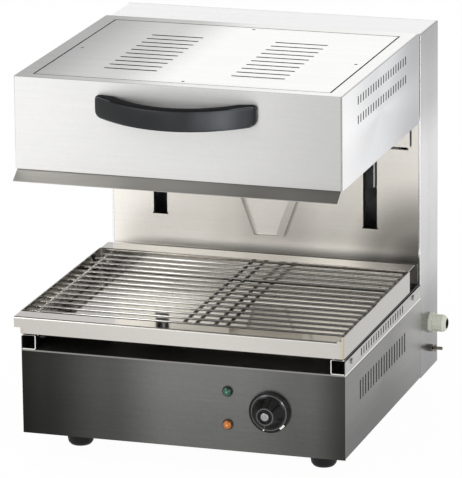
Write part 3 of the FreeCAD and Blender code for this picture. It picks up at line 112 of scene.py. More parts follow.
# Shader helpers

class Shader:
    """Short way to add and link nodes in a material or world tree."""

    def __init__(self, tree):
        self.tree = tree
        self.tree.nodes.clear()

    def add(self, kind, inputs=None, **settings):
        """New node; inputs maps its sockets to an output, a number, a colour or a vector."""
        node = self.tree.nodes.new(kind)
        for key, value in settings.items():
            setattr(node, key, value)
        for key, value in (inputs or {}).items():
            self.feed(node.inputs[key], value)
        return node

    def feed(self, socket, value):
        if isinstance(value, (tuple, Vector)):
            socket.default_value = (*value, 1) if socket.type == "RGBA" else value
        elif isinstance(value, (int, float)):
            socket.default_value = value
        else:
            self.tree.links.new(value, socket)

    def math(self, operation, *values):
        return self.add("ShaderNodeMath", dict(enumerate(values)), operation=operation).outputs[0]

    def ramp(self, factor, stops, mode="LINEAR"):
        node = self.add("ShaderNodeValToRGB", {0: factor})
        node.color_ramp.interpolation = mode
        elements = node.color_ramp.elements
        while len(elements) < len(stops):
            elements.new(0.5)
        for element, (place, value) in zip(elements, stops):
            element.position = place
            element.color = (*value, 1) if isinstance(value, tuple) else (value, value, value, 1)
        return node.outputs[0]

    def part(self, vector, axis):
        """One coordinate of a vector."""
        return self.add("ShaderNodeSeparateXYZ", {0: vector}).outputs[axis]

    def scaled(self, vector, scale):
        return self.add("ShaderNodeMapping", {"Scale": scale, "Vector": vector}).outputs[0]

    def mix_colour(self, factor, a, b, blend="MIX"):
        inputs = {0: factor, 6: a, 7: b}
        return self.add("ShaderNodeMix", inputs, data_type="RGBA", blend_type=blend).outputs[2]

    def mix_vector(self, factor, a, b):
        return self.add("ShaderNodeMix", {0: factor, 4: a, 5: b}, data_type="VECTOR").outputs[1]

    def times(self, a, b):
        """One colour multiplied by another."""
        return self.mix_colour(1.0, a, b, "MULTIPLY")

    def bump(self, height, strength, distance):
        inputs = {"Strength": strength, "Distance": distance, "Height": height}
        return self.add("ShaderNodeBump", inputs).outputs[0]

    def faces(self, axis):
        """1 on faces that look along an axis, either way, and 0 on the rest."""
        normal = self.add("ShaderNodeNewGeometry").outputs["True Normal"]
        return self.math("GREATER_THAN", self.math("ABSOLUTE", self.part(normal, axis)), 0.7)

    def varied(self, base, pattern, amount):
        """A value moved a little up and down by a noise pattern."""
        change = self.math("MULTIPLY", self.math("SUBTRACT", pattern, 0.5), amount)
        return self.math("ADD", change, base)


class Look(Shader):
    """Material with a principled shader; place is the object's coordinates in metres."""

    def __init__(self, metallic, roughness):
        self.material = bpy.data.materials.new("look")
        self.material.use_nodes = True
        super().__init__(self.material.node_tree)
        self.surface = self.add("ShaderNodeBsdfPrincipled")
        self.set("Metallic", metallic)
        self.set("Roughness", roughness)
        self.output = self.add("ShaderNodeOutputMaterial").inputs["Surface"]
        self.feed(self.output, self.surface.outputs[0])
        self.place = self.add("ShaderNodeTexCoord").outputs["Object"]

    def set(self, name, value):
        self.feed(self.surface.inputs[name], value)

    def noise(self, scale, detail=2.0, roughness=0.5, vector=None):
        inputs = {"Scale": scale, "Detail": detail, "Roughness": roughness, "Vector": vector or self.place}
        return self.add("ShaderNodeTexNoise", inputs).outputs["Fac"]

    def along(self, axis, stops):
        """Soft ramp over one coordinate, with its stops in metres."""
        first = stops[0][0]
        span = stops[-1][0] - first
        share = self.math("DIVIDE", self.math("SUBTRACT", self.part(self.place, axis), first), span)
        return self.ramp(share, [((at - first) / span, value) for at, value in stops], "EASE")

    def shaded(self, base, shades):
        """A base tone with ramps of painted reflection, painted highlight and painted shade over it.

        A shade is (the axis its faces look along or None for all, the axis of its ramp, the ramp's stops).
        """
        for looks, axis, stops in shades:
            ramp = self.along(axis, stops)
            if looks:
                ramp = self.mix_colour(self.faces(looks), WHITE, ramp)
            base = self.times(base, ramp)
        return base

    def away_from(self, point, scale, reach):
        """Distance from a point as a share of reach; the point is in the stretched space."""
        inputs = {0: self.scaled(self.place, scale), 1: point}
        node = self.add("ShaderNodeVectorMath", inputs, operation="DISTANCE")
        return self.math("DIVIDE", node.outputs["Value"], reach)


# Metals

WAVE_HEIGHT = 0.8 * MM
HAIR_HEIGHT = 0.01 * MM


def steel(colour, roughness=0.24, shades=(), grain=1.0, aniso=0.5, wave=1.0, tint=None, mottle=0.07,
          polish=0.0):
    """Stainless sheet: hairline grain along X, or along Y on the sides, and soft cloudy tones.

    polish is how much smoother the faces that look up or down are. Shades paint reflection and shade by
    place, and tint adds a heat tint or painted shade.
    """
    look = Look(1.0, roughness)
    sideways = look.faces("X")

    def grain_lines(length, height):
        along_x = look.scaled(look.place, (length, height, height))
        along_y = look.scaled(look.place, (height, length, height))
        return look.noise(1.0, 2.0, 0.6, look.mix_vector(sideways, along_x, along_y))

    hairs = grain_lines(16, 2600)
    bands = grain_lines(2.5, 520)
    cloud = look.noise(6.0)
    specks = look.noise(160.0, 3.0, 0.7)
    tone = 1.0
    for pattern, amount in ((hairs, 0.16 * grain), (bands, 0.07 * grain), (cloud, mottle), (specks, mottle)):
        tone = look.varied(tone, pattern, amount)
    base = look.shaded(look.times(colour, tone), shades)
    look.set("Base Color", tint(look, base) if tint else base)
    rough = look.varied(look.varied(roughness, bands, 0.10 * grain), cloud, 0.05)
    if polish:
        rough = look.math("MULTIPLY_ADD", look.faces("Z"), -polish, rough)
    look.set("Roughness", rough)
    if aniso:
        look.set("Anisotropic", aniso)
        look.set("Tangent", look.add("ShaderNodeTangent", direction_type="RADIAL", axis="X").outputs[0])
    height = look.math("MULTIPLY", look.noise(5.0, 1.0, 0.4), WAVE_HEIGHT * wave)
    height = look.math("MULTIPLY_ADD", hairs, HAIR_HEIGHT * grain, height)
    look.set("Normal", look.bump(height, 0.3, 1.0))
    return look.material


def metal(colour, roughness, spots=0.1, shades=()):
    """Plated or ground metal with faint spots and handling marks; shades paint reflection by place."""
    look = Look(1.0, roughness)
    mottled = look.noise(260.0, 3.0, 0.6)
    body = look.times(colour, look.ramp(mottled, [(0.3, 1.0 - spots), (0.7, 1.0)]))
    look.set("Base Color", look.shaded(body, shades))
    look.set("Roughness", look.varied(roughness, look.noise(90.0), 0.16))
    look.set("Normal", look.bump(mottled, 0.12, 0.0002))
    return look.material


def galvanised(colour):
    """Zinc-coated sheet with its crystal pattern."""
    look = Look(1.0, 0.42)
    crystals = look.add("ShaderNodeTexVoronoi", {"Scale": 70.0, "Vector": look.place}, feature="F1")
    grey = look.add("ShaderNodeSeparateColor", {0: crystals.outputs["Color"]}).outputs
    look.set("Base Color", look.times(colour, look.ramp(grey[0], [(0.0, 0.8), (1.0, 1.0)])))
    look.set("Roughness", look.math("MULTIPLY_ADD", grey[1], 0.18, 0.33))
    return look.material


# Plastics, fibre, paint and lamps

def plastic(colour, roughness, grain=1.0, wear=0.3, gloss=0.5, shades=(), matt_top=0.0):
    """Moulded plastic: fine spark texture, slight sheen changes and dust-pale wear; shades paint highlight
    and shade by place.
    """
    look = Look(0.0, roughness)
    look.set("Specular IOR Level", gloss)
    cloud = look.noise(28.0, 3.0, 0.55)
    pale = tuple(min(1.0, c * (1 + wear) + 0.02 * wear) for c in colour)
    body = look.mix_colour(look.ramp(cloud, [(0.4, 0.0), (0.75, 1.0)]), colour, pale)
    look.set("Base Color", look.shaded(body, shades))
    rough = look.varied(roughness, cloud, 0.14)
    if matt_top:
        rough = look.math("MULTIPLY_ADD", look.faces("Z"), matt_top, rough)
    look.set("Roughness", rough)
    look.set("Normal", look.bump(look.noise(1500.0, 2.0, 0.6), 0.25 * grain, 0.0001))
    return look.material


def fibre_blanket(colour):
    """Mineral fibre: matted strands."""
    look = Look(0.0, 0.95)
    strands = look.noise(1.0, 6.0, 0.75, look.scaled(look.place, (120, 300, 420)))
    look.set("Base Color", look.times(colour, look.ramp(strands, [(0.3, 0.7), (0.65, 1.0)])))
    look.set("Normal", look.bump(strands, 0.8, 0.002))
    return look.material


def cast_paint(colour):
    """Painted casting with an orange-peel skin over sand texture."""
    look = Look(0.0, 0.55)
    skin = look.noise(350.0, 4.0, 0.6)
    look.set("Base Color", look.times(colour, look.ramp(skin, [(0.3, 0.8), (0.7, 1.0)])))
    look.set("Normal", look.bump(skin, 0.5, 0.0006))
    return look.material


def oxidised_sheath(colour):
    """Heating element sheath: dark oxide with warmer heat-tint patches."""
    look = Look(0.35, 0.55)
    patches = look.ramp(look.noise(45.0, 4.0, 0.6), [(0.35, 0.0), (0.7, 1.0)])
    warm = tuple(c * f for c, f in zip(colour, (2.2, 1.7, 1.4)))
    look.set("Base Color", look.mix_colour(patches, colour, warm))
    look.set("Normal", look.bump(look.noise(900.0, 3.0, 0.6), 0.4, 0.0002))
    return look.material


def lamp_lens(node, colour, glow):
    """Moulded lens of one colour, with a painted highlight pale at its crown and painted shade towards its
    rim.
    """
    look = Look(0.0, 0.14)
    low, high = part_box(node)
    middle = ((low.x + high.x) / 2, 0, (low.z + high.z) / 2)
    share = look.away_from(middle, (1, 0, 1), (high.x - low.x) / 2)
    # The pale crown is a painted highlight and the darkened rim is painted shade.
    rim_shade = tuple(c * 0.10 for c in colour)
    body = look.ramp(share, [(0.0, glow), (0.32, colour), (0.62, colour), (0.88, rim_shade)], "EASE")
    look.set("Base Color", look.times(body, look.ramp(look.noise(260.0), [(0.3, 0.85), (0.7, 1.0)])))
    look.set("Specular IOR Level", 0.3)
    look.set("Coat Weight", 0.5)
    look.set("Coat Roughness", 0.05)
    return look.material


WELD_TINT = (0.55, 0.49, 0.37)
WELD_REACH = 9.0 * MM
TRAY_LEDGE = 25.0 * MM


def weld_tint(look, base):
    """Straw-coloured heat tint round the welded front corners of the tray."""
    low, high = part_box("drip_tray")
    for corner_x in (low.x, high.x):
        share = look.away_from((corner_x, low.y + TRAY_LEDGE, 0), (1, 1, 0), WELD_REACH)
        base = look.mix_colour(look.ramp(share, [(0.2, 0.6), (1.0, 0.0)], "EASE"), base, WELD_TINT)
    return base


RECESS_EDGE_LOW = Vector((0.016, 0, 0.226))
RECESS_EDGE_HIGH = Vector((0.056, 0, 0.336))
EDGE_LINE_WIDTH = 10.0 * MM
CORNER_SHADE_REACH = 0.14
CORNER_SHADE_STRETCH = 1.2
CORNER_SHADE_RISE = 40.0 * MM


def panel_shading(look, base):
    """Painted shade: a soft dark line along the recess's right edge, and a dark lower right corner of the
    panel.
    """
    run = RECESS_EDGE_HIGH - RECESS_EDGE_LOW
    out = Vector((run.z, 0, -run.x)).normalized()
    beside = look.add("ShaderNodeVectorMath", {0: look.place, 1: out}, operation="DOT_PRODUCT")
    offset = look.math("SUBTRACT", beside.outputs["Value"], out.dot(RECESS_EDGE_LOW))
    share = look.math("MULTIPLY_ADD", offset, 1 / EDGE_LINE_WIDTH, 0.5)
    line = look.ramp(share, [(0.38, 1.0), (0.5, 0.40), (0.62, 0.62), (1.0, 1.0)], "EASE")
    low, high = RECESS_EDGE_LOW.z, RECESS_EDGE_HIGH.z
    fade = [(low - 4 * MM, 0.0), (low + 6 * MM, 1.0), (high - 3 * MM, 1.0), (high + 2 * MM, 0.0)]
    line = look.mix_colour(look.along("Z", fade), WHITE, line)
    corner = (CORNER_SHADE_STRETCH * column_high.x, 0, panel_high.z + CORNER_SHADE_RISE)
    share = look.away_from(corner, (CORNER_SHADE_STRETCH, 0, 1), CORNER_SHADE_REACH)
    corner = look.ramp(share, [(0.15, 0.18), (0.5, 0.46), (1.0, 1.0)], "EASE")
    return look.times(look.times(base, line), corner)


# Materials by slot

panel_low, panel_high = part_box("control_panel")
hood_low, hood_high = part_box("hood_shell")
column_low, column_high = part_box("column_shell")
handle_low, handle_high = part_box("handle")
handle_wide = handle_high.x - handle_low.x
# Painted highlight along the front of the handle, as shares of its width, brightest towards the right end.
HANDLE_PAINTED_HIGHLIGHT = [(0.0, 0.10), (0.35, 0.15), (0.60, 0.26), (0.72, 0.60), (0.83, 1.0), (0.94, 0.45), (1.0, 0.2)]


def even(looks, tone):
    """A shade with one tone on all the faces that look along an axis."""
    return (looks, "X", [(-1.0, tone), (1.0, tone)])


MATERIALS = {
    "brushed_stainless": steel((0.80, 0.795, 0.78)),
    # The ramps are painted reflection and shade: darker at both ends and towards the bottom.
    "dark_panel": steel(
        (0.185, 0.185, 0.178), 0.34,
        [
            ("Y", "X", [(panel_low.x, 0.12), (-0.206, 0.17), (-0.115, 0.46), (-0.03, 0.98), (0.06, 0.90),
                        (0.161, 0.66), (panel_high.x, 0.26)]),
            ("Y", "Z", [(panel_low.z, 0.78), (panel_high.z, 1.0)]),
        ],
        grain=2.0, aniso=0.3, mottle=0.2,
    ),
    # Painted reflection and shade: side walls darker, ledge faces darker at the ends, floor darker towards
    # the left; the weld tint is the tray's own.
    "tray_steel": steel(
        (0.76, 0.735, 0.69), 0.07,
        [
            even("X", 0.54),
            ("Y", "X", [(panel_low.x, 0.76), (0.0, 0.85), (panel_high.x, 0.76)]),
            ("Z", "X", [(panel_low.x, 0.45), (-0.12, 0.54), (0.0, 0.76), (0.12, 1.0), (panel_high.x, 1.0)]),
        ],
        grain=0.2, aniso=0.0, wave=0.4, tint=weld_tint,
    ),
    # The ramp along X is painted reflection: the wires darker towards the right.
    "grid_wire": metal(
        (0.76, 0.75, 0.72), 0.10,
        shades=[(None, "X", [(panel_low.x, 1.0), (-0.10, 0.92), (0.03, 0.58), (panel_high.x, 0.46)])],
    ),
    "rubber_black": plastic((0.008, 0.008, 0.008), 0.6, 1.5, gloss=0.2),
    "zinc_fastener": metal((0.42, 0.42, 0.41), 0.3),
    "galvanised": galvanised((0.60, 0.61, 0.62)),
    "guide_chrome": metal((0.80, 0.80, 0.80), 0.12, 0.04),
    "bush_bronze": metal((0.62, 0.45, 0.24), 0.4),
    "weight_iron": cast_paint((0.10, 0.10, 0.11)),
    "pulley_nylon": plastic((0.80, 0.79, 0.74), 0.4),
    "rope_steel": metal((0.50, 0.50, 0.50), 0.35, 0.3),
    "ferrule_aluminium": metal((0.75, 0.75, 0.75), 0.4),
    "reflector_steel": steel((0.76, 0.75, 0.72), 0.2, grain=0.6),
    "insulation": fibre_blanket((0.78, 0.76, 0.70)),
    "element_sheath": oxidised_sheath((0.06, 0.055, 0.05)),
    "fitting_steel": metal((0.58, 0.56, 0.50), 0.35),
    # The front faces carry the painted highlight; the ends, top and underside are painted dark as shade.
    "handle_plastic": plastic(
        (0.060, 0.064, 0.072), 0.38, 0.8, 0.2, 0.26,
        [
            ("Y", "X", [(handle_low.x + share * handle_wide, tone) for share, tone in HANDLE_PAINTED_HIGHLIGHT]),
            even("X", 0.15),
            even("Z", 0.05),
        ],
        0.5,
    ),
    "knob_plastic": plastic((0.004, 0.004, 0.004), 0.15, 0.2, 0.2, 0.18),
    "cap_metal": metal((0.36, 0.36, 0.36), 0.30),
    "spindle_steel": metal((0.62, 0.62, 0.60), 0.3),
    "regulator_plastic": plastic((0.82, 0.80, 0.72), 0.5),
    "lamp_black": plastic((0.03, 0.03, 0.03), 0.4),
    # The second colour of each lens is its painted highlight.
    "lens_green": lamp_lens("power_lamp_lens", (0.004, 0.060, 0.036), (0.10, 0.40, 0.27)),
    "lens_amber": lamp_lens("heating_lamp_lens", (0.42, 0.12, 0.006), (0.90, 0.46, 0.09)),
    "gland_plastic": plastic((0.60, 0.62, 0.53), 0.38, 0.8, 0.05),
    "stud_brass": metal((0.30, 0.28, 0.25), 0.34, 0.35),
    "terminal_plastic": plastic((0.85, 0.84, 0.80), 0.45),
}

# Lit and shaded copies of the sheet metals: their ramps are painted reflections and painted shade, adjusted
# until the render was as bright as the photograph
# Tones of painted shade on edge and slot faces, and the width of the painted dark line along each fold
PAINTED_EDGE_SHADE = 0.16
PAINTED_SLOT_SHADE = 0.03
FOLD = 1.2 * MM
SHEETS = {
    # Painted reflection: front darker to the right, sides darker and bluer to the rear, top rim darker to
    # the left. Painted shade: dark lines along the folded edges and dark faces behind the front, in the
    # slots.
    "hood_shell": steel(
        (0.97, 0.965, 0.95), 0.34,
        [
            ("Y", "X", [(hood_low.x, 0.75), (0.0, 0.675), (hood_high.x - 2 * FOLD, 0.54),
                        (hood_high.x - FOLD, 0.16), (hood_high.x, 0.16)]),
            ("Y", "Y", [(hood_low.y + 2 * MM, 1.0), (hood_low.y + 3 * MM, PAINTED_EDGE_SHADE),
                        (hood_high.y, PAINTED_EDGE_SHADE)]),
            ("X", "Y", [(hood_low.y, (0.975, 0.98, 1.0)), (-0.04, (0.80, 0.81, 0.84)),
                        (hood_high.y, (0.485, 0.49, 0.515))]),
            ("Z", "X", [(hood_low.x, 0.30), (-0.12, 0.46), (0.0, 0.9), (hood_high.x - 2 * FOLD, 1.0),
                        (hood_high.x - FOLD, 0.12), (hood_high.x, 0.12)]),
            ("Z", "Y", [(hood_low.y, 0.35), (hood_low.y + FOLD, 0.35), (hood_low.y + 2 * FOLD, 1.0),
                        (hood_high.y, 1.0)]),
        ],
        aniso=0.8, polish=0.14,
    ),
    # Painted shade: slot walls and edge faces near black. Painted reflection: the top darker to the left.
    "hood_top_cover": steel(
        (0.99, 0.985, 0.975), 0.24,
        [
            even("Y", PAINTED_SLOT_SHADE),
            even("X", PAINTED_SLOT_SHADE),
            ("Z", "X", [(hood_low.x, 0.27), (-0.12, 0.56), (-0.02, 1.0), (hood_high.x, 1.0)]),
        ],
    ),
    # A darker copy of the stainless whose tone falls to the right: painted reflection.
    "hood_front_lip": steel(
        (0.55, 0.535, 0.50), 0.42,
        [("Z", "X", [(hood_low.x, 1.0), (-0.05, 0.80), (hood_high.x, 0.42)])],
    ),
    # Painted reflection: the sides darker at the bottom and towards the top. Painted shade: a dark line
    # along the folded top edge.
    "column_shell": steel(
        (0.92, 0.917, 0.92), 0.26,
        [
            ("X", "Z", [(column_low.z, 0.19), (0.12, 0.29), (0.205, 0.59), (0.355, 0.76), (0.44, 0.50),
                        (column_high.z, 0.38)]),
            ("Z", "X", [(column_low.x, 1.0), (column_high.x - 2 * FOLD, 1.0), (column_high.x - FOLD, 0.2),
                        (column_high.x, 0.2)]),
        ],
    ),
    # Painted reflection across the face; painted shade on the recess walls and ledges, and from
    # panel_shading.
    "column_front_panel": steel(
        (1.0, 0.96, 0.895), 0.40,
        [
            ("Y", "X", [(column_low.x, 0.92), (-0.11, 1.0), (-0.06, 0.92), (-0.03, 0.80), (0.02, 0.78),
                        (0.08, 1.0), (column_high.x, 1.0)]),
            even("X", 0.30),
            even("Z", 0.88),
        ],
        aniso=0.2, tint=panel_shading,
    ),
    # Painted reflection: the sides darker towards the front and the bottom. Painted shade: dark slot walls.
    "base_shell": steel(
        (0.36, 0.355, 0.345), 0.34,
        [
            ("X", "Y", [(panel_low.y, 0.40), (0.0, 0.54), (column_low.y, 1.0)]),
            ("X", "Z", [(panel_low.z, 0.43), (panel_high.z, 1.0)]),
            even("Y", PAINTED_EDGE_SHADE),
        ],
        grain=1.3, aniso=0.3, mottle=0.16,
    ),
    # Painted shade: the slot walls dark.
    "rail_vent_strips": steel((0.42, 0.415, 0.405), 0.30, [even("Y", PAINTED_EDGE_SHADE)]),
    # Painted shade: the faces inside the channels near black, the cut ends bright.
    "rail_channels": steel((0.85, 0.845, 0.82), 0.3, [even("X", 0.05), even("Z", 0.05)]),
    # Near black, a painted shade where it shows round the top cover.
    "cover_ledge_frame": galvanised((0.06, 0.06, 0.06)),
    # Painted shade: the top faces and the front edge faces darker, under the tray.
    "deck_plate": steel(
        (0.85, 0.83, 0.79), 0.3,
        [even("Z", 0.35),
         ("Y", "Y", [(panel_low.y, 0.30), (panel_low.y + 50 * MM, 0.30), (column_low.y - 50 * MM, 1.0),
                     (column_low.y, 1.0)])],
    ),
}

# Materials of small details that share a slot with something else
DETAILS = {
    # Glossier dark grey rings on the knob's bevel and nose: painted highlights.
    "painted_edge_highlight": plastic((0.05, 0.05, 0.05), 0.25, 0.2, 0.2, 0.6),
    "mark_white": plastic((0.80, 0.80, 0.77), 0.5, 0.5, 0.1),
    # Dark metal of the grid's inner bars: painted shade under the wires.
    "painted_shade_bar_metal": metal((0.12, 0.115, 0.105), 0.22),
    "cover_screw_metal": metal((0.10, 0.10, 0.10), 0.35),
}
for table in (MATERIALS, SHEETS, DETAILS):
    for name, material in table.items():
        material.name = name + "_sheet" if table is SHEETS else name

SLOT_OF = {s["node"]: s["material_slot"] for s in frame["record"]["subparts"]}


def finish_cad_nodes():
    """Every part of the frame takes the detailed material of its slot, or its sheet's own."""
    for name, node in NODES.items():
        material = SHEETS.get(name, MATERIALS[SLOT_OF[name]])
        for slot in node.material_slots:
            slot.material = material


# Building pieces from rings of points

class Form:
    """Gathers rings of points and the skins between them."""

    def __init__(self):
        self.points = []
        self.faces = []

    def skin(self, rings, looped=False):
        """Skin through matching rings, closed by a face on each end or by looping back to the first ring."""
        count = len(rings[0])
        first = len(self.points)
        for ring in rings:
            self.points.extend(ring)
        for level in range(len(rings) if looped else len(rings) - 1):
            near = first + level * count
            far = first + (level + 1) % len(rings) * count
            for index in range(count):
                after = (index + 1) % count
                self.faces.append((near + index, near + after, far + after, far + index))
        if not looped:
            last = first + (len(rings) - 1) * count
            self.faces.append(tuple(range(first, first + count)))
            self.faces.append(tuple(range(last, last + count)))


def side_axes(axis):
    """Two directions square to an axis and to each other."""
    across = axis.cross(Z if abs(axis.z) < 0.9 else X).normalized()
    return across, axis.cross(across)


def ring_of(centre, axes, radius, sides, shape=None, reach=0.0):
    """One ring of points; shape turns a distance and an angle into a share of the radius."""
    across, up = axes
    ring = []
    for step in range(sides):
        angle = TURN * step / sides
        share = shape(reach, angle) if shape else 1.0
        ring.append(centre + (across * math.cos(angle) + up * math.sin(angle)) * radius * share)
    return ring


def threads(pitch, depth):
    """Shape of a screw thread: the radius winds in and out along the way."""
    return lambda reach, angle: 1.0 - depth + depth * math.cos(TURN * reach / pitch + angle)


def turned(form, origin, axis, profile, sides=48, shape=None, looped=False):
    """Turned body; the profile holds (distance along the axis, radius). Looped, it is a ring."""
    axes = side_axes(axis)
    rings = [ring_of(origin + axis * reach, axes, radius, sides, shape, reach) for reach, radius in profile]
    form.skin(rings, looped)


def softened(profile, radius, steps=3):
    """The same open outline with each inner corner rounded."""
    points = [Vector(p) for p in profile]
    out = [points[0]]
    for before, corner, after in zip(points, points[1:], points[2:]):
        to_before = before - corner
        to_after = after - corner
        cut = min(radius, 0.45 * to_before.length, 0.45 * to_after.length)
        start = corner + to_before.normalized() * cut
        end = corner + to_after.normalized() * cut
        for step in range(steps + 1):
            t = step / steps
            out.append(start * (1 - t) ** 2 + corner * 2 * t * (1 - t) + end * t ** 2)
    out.append(points[-1])
    return [tuple(p) for p in out]


def swept(form, path, radius, sides=16, domed=True, shape=None):
    """Round bar along a path, with domed ends; its sides keep their turn along the way."""
    last = len(path) - 1
    tangents = [(path[min(i + 1, last)] - path[max(i - 1, 0)]).normalized() for i in range(last + 1)]
    across = side_axes(tangents[0])[0]
    dome = [(0.1, 0.55), (0.24, 0.86), (0.45, 1.0)] if domed else [(0.0, 1.0)]
    rings = []
    travelled = 0.0
    for index, (centre, tangent) in enumerate(zip(path, tangents)):
        across = (across - tangent * across.dot(tangent)).normalized()
        axes = (across, tangent.cross(across))
        if index:
            travelled += (centre - path[index - 1]).length
        steps = [(0.0, 1.0)]
        if index == 0:
            steps = dome
        elif index == last:
            steps = [(-inset, size) for inset, size in reversed(dome)]
        for inset, size in steps:
            place = centre + tangent * radius * inset
            rings.append(ring_of(place, axes, radius * size, sides, shape, travelled))
    form.skin(rings)


def arc_points(centre, start, axis, turn, steps):
    """Points on an arc from start, after the start itself."""
    arm = start - centre
    return [centre + Matrix.Rotation(turn * (i + 1) / steps, 3, axis) @ arm for i in range(steps)]


def make_piece(name, form, body, slot, replaces=(), sharp=35.0, material=None):
    """Mesh object from a form: normals outward, smooth apart from its sharp edges, riding on a body."""
    mesh = bpy.data.meshes.new(name)
    mesh.from_pydata([tuple(p) for p in form.points], [], form.faces)
    work = bmesh.new()
    work.from_mesh(mesh)
    bmesh.ops.recalc_face_normals(work, faces=work.faces)
    for face in work.faces:
        face.smooth = True
    work.to_mesh(mesh)
    work.free()
    mesh.set_sharp_from_angle(angle=math.radians(sharp))
    mesh.materials.append(material or MATERIALS[slot])
    piece = add_object(name, mesh)
    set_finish(piece, slot)
    if body:
        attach(piece, body)
    if replaces:
        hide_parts(*replaces)
    return piece


def cut_out(piece, form, inside=None):
    """Takes the volume of a form out of a piece; the cut may show a material of its own."""
    tool = make_piece("tool", form, None, piece["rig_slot"], material=inside)
    change = piece.modifiers.new("cut", "BOOLEAN")
    change.object = tool
    change.solver = "EXACT"
    graph = bpy.context.evaluated_depsgraph_get()
    mesh = bpy.data.meshes.new_from_object(piece.evaluated_get(graph))
    piece.modifiers.clear()
    mesh.name = piece.name
    piece.data = mesh
    bpy.data.objects.remove(tool)
    mesh.set_sharp_from_angle(angle=math.radians(35.0))


def bore_out(piece, *bores):
    """Cuts cylinders out of a piece; a bore is (start, axis, length, radius, sides)."""
    form = Form()
    for start, axis, length, radius, sides in bores:
        turned(form, start, axis, [(0.0, radius), (length, radius)], sides)
    cut_out(piece, form)


def middle_at(low, high, axis, level):
    """Middle of a box, moved to a level on one axis: 0, 1 or 2 for X, Y or Z."""
    place = (low + high) / 2
    place[axis] = level
    return place


def solids_of(node):
    """Boxes of a node's separate solids, found by the points that they share."""
    mesh = NODES[node].data
    places = {}
    index_of = [places.setdefault(tuple(round(c * 1e6) for c in v.co), len(places)) for v in mesh.vertices]
    parent = list(range(len(places)))

    def root(item):
        while parent[item] != item:
            parent[item] = parent[parent[item]]
            item = parent[item]
        return item

    for polygon in mesh.polygons:
        first = root(index_of[polygon.vertices[0]])
        for vertex in polygon.vertices[1:]:
            parent[root(index_of[vertex])] = first
            first = root(first)
    groups = {}
    for vertex, item in zip(mesh.vertices, index_of):
        groups.setdefault(root(item), []).append(vertex.co)
    boxes = [
        tuple(Vector(pick(p[i] for p in points) for i in range(3)) for pick in (min, max))
        for points in groups.values()
    ]
    return sorted(boxes, key=lambda b: tuple(round(c, 5) for c in b[0]))


# Handle: a moulded bow on the front of the hood

HANDLE_PAD = 25.0 * MM
HANDLE_THICKNESS = 16.0 * MM
HANDLE_END_THICKNESS = 8.0 * MM
HANDLE_SAG = 4.5 * MM
HANDLE_CORNER = 9.0 * MM
HANDLE_END_EDGE = 3.5 * MM
HANDLE_LEAST = 1.6 * MM
HANDLE_EDGE = 4.2 * MM
HANDLE_CROWN = 0.9 * MM
HANDLE_STATIONS = 96
HANDLE_CORNER_STEPS = 5
HANDLE_FACE_STEPS = 6


def bow_through(half_span, end_reach, middle_reach):
    """Depth of a circular bow at a place along its span."""
    rise = middle_reach - end_reach
    radius = (half_span ** 2 + rise ** 2) / (2 * rise)

    def depth(x):
        return middle_reach - radius + math.sqrt(max(radius ** 2 - x ** 2, 0.0))

    return depth


def quarter_drop(radius, to_end):
    """How far a rounded end of this radius has drawn in, this far from the end."""
    return radius - math.sqrt(max(radius ** 2 - max(radius - to_end, 0) ** 2, 0.0))


def handle_section(x, near, far, low, high):
    """Rounded four-sided section, with a slight crown on its front face."""
    corner = min(HANDLE_EDGE, 0.48 * (far - near), 0.48 * (high - low))
    inner = min(corner, 0.6 * HANDLE_EDGE)
    stations = []
    corners = (
        (near, low, inner, math.pi),
        (far, low, corner, 1.5 * math.pi),
        (far, high, corner, 0.0),
        (near, high, inner, 0.5 * math.pi),
    )
    for reach, level, radius, start in corners:
        centre_reach = reach + (radius if reach == near else -radius)
        centre_level = level + (radius if level == low else -radius)
        for step in range(HANDLE_CORNER_STEPS + 1):
            angle = start + 0.5 * math.pi * step / HANDLE_CORNER_STEPS
            stations.append(
                (centre_reach + radius * math.cos(angle), centre_level + radius * math.sin(angle))
            )
        if reach == far and level == low:
            for step in range(1, HANDLE_FACE_STEPS):
                share = step / HANDLE_FACE_STEPS
                stations.append((far, low + corner + (high - low - 2 * corner) * share))
    middle = (low + high) / 2
    ring = []
    for reach, level in stations:
        drop = HANDLE_CROWN * ((level - middle) / (high - middle)) ** 2
        share = (reach - near) / (far - near)
        ring.append((x, reach - drop * share, level))
    return ring


def make_handle():
    low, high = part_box("handle")
    wall = high.y
    centre = (low.x + high.x) / 2
    half = (high.x - low.x) / 2
    bar = high.z - low.z - HANDLE_SAG
    outer = bow_through(half, HANDLE_END_THICKNESS, wall - low.y)
    inner = bow_through(half - HANDLE_PAD, 0.0, wall - low.y - HANDLE_THICKNESS)
    sag = bow_through(half, 0.0, HANDLE_SAG)
    rings = []
    for step in range(HANDLE_STATIONS + 1):
        x = half * math.sin(math.pi * (step / HANDLE_STATIONS - 0.5))
        to_end = half - abs(x)
        round_off = min(quarter_drop(HANDLE_CORNER, to_end), 0.42 * bar)
        draw_in = quarter_drop(HANDLE_END_EDGE, to_end)
        far = max(outer(x) - draw_in * 1.6, HANDLE_LEAST)
        near = max(inner(x), 0.0) if abs(x) < half - HANDLE_PAD else 0.0
        base = high.z - bar - sag(x)
        section = handle_section(x, near, far, base + round_off, base + bar - round_off * 0.6)
        rings.append([Vector((centre + px, wall - py, pz)) for px, py, pz in section])
    form = Form()
    form.skin(rings)
    make_piece("bow_handle", form, "hood", "handle_plastic", ["handle"], 50.0)


# Knob: a black moulding with glossier grey rings as painted highlights on its edges, marks and a metal disc

KNOB_SKIRT = 28.0 * MM
KNOB_BEVEL_OUT = 25.2 * MM
KNOB_BEVEL_IN = 22.4 * MM
KNOB_NOSE = 11.4 * MM
KNOB_RECESS = 9.3 * MM
KNOB_SIDES = 120
KNOB_FLUTES = 12
FLUTE_DEPTH = 0.035
FLUTE_END = 3.0 * MM
MARK_TURN = math.radians(-45.5)
DOT_TURN = math.radians(-107.0)
RIM = 4.6 * MM
GRIP_START = 7.4 * MM


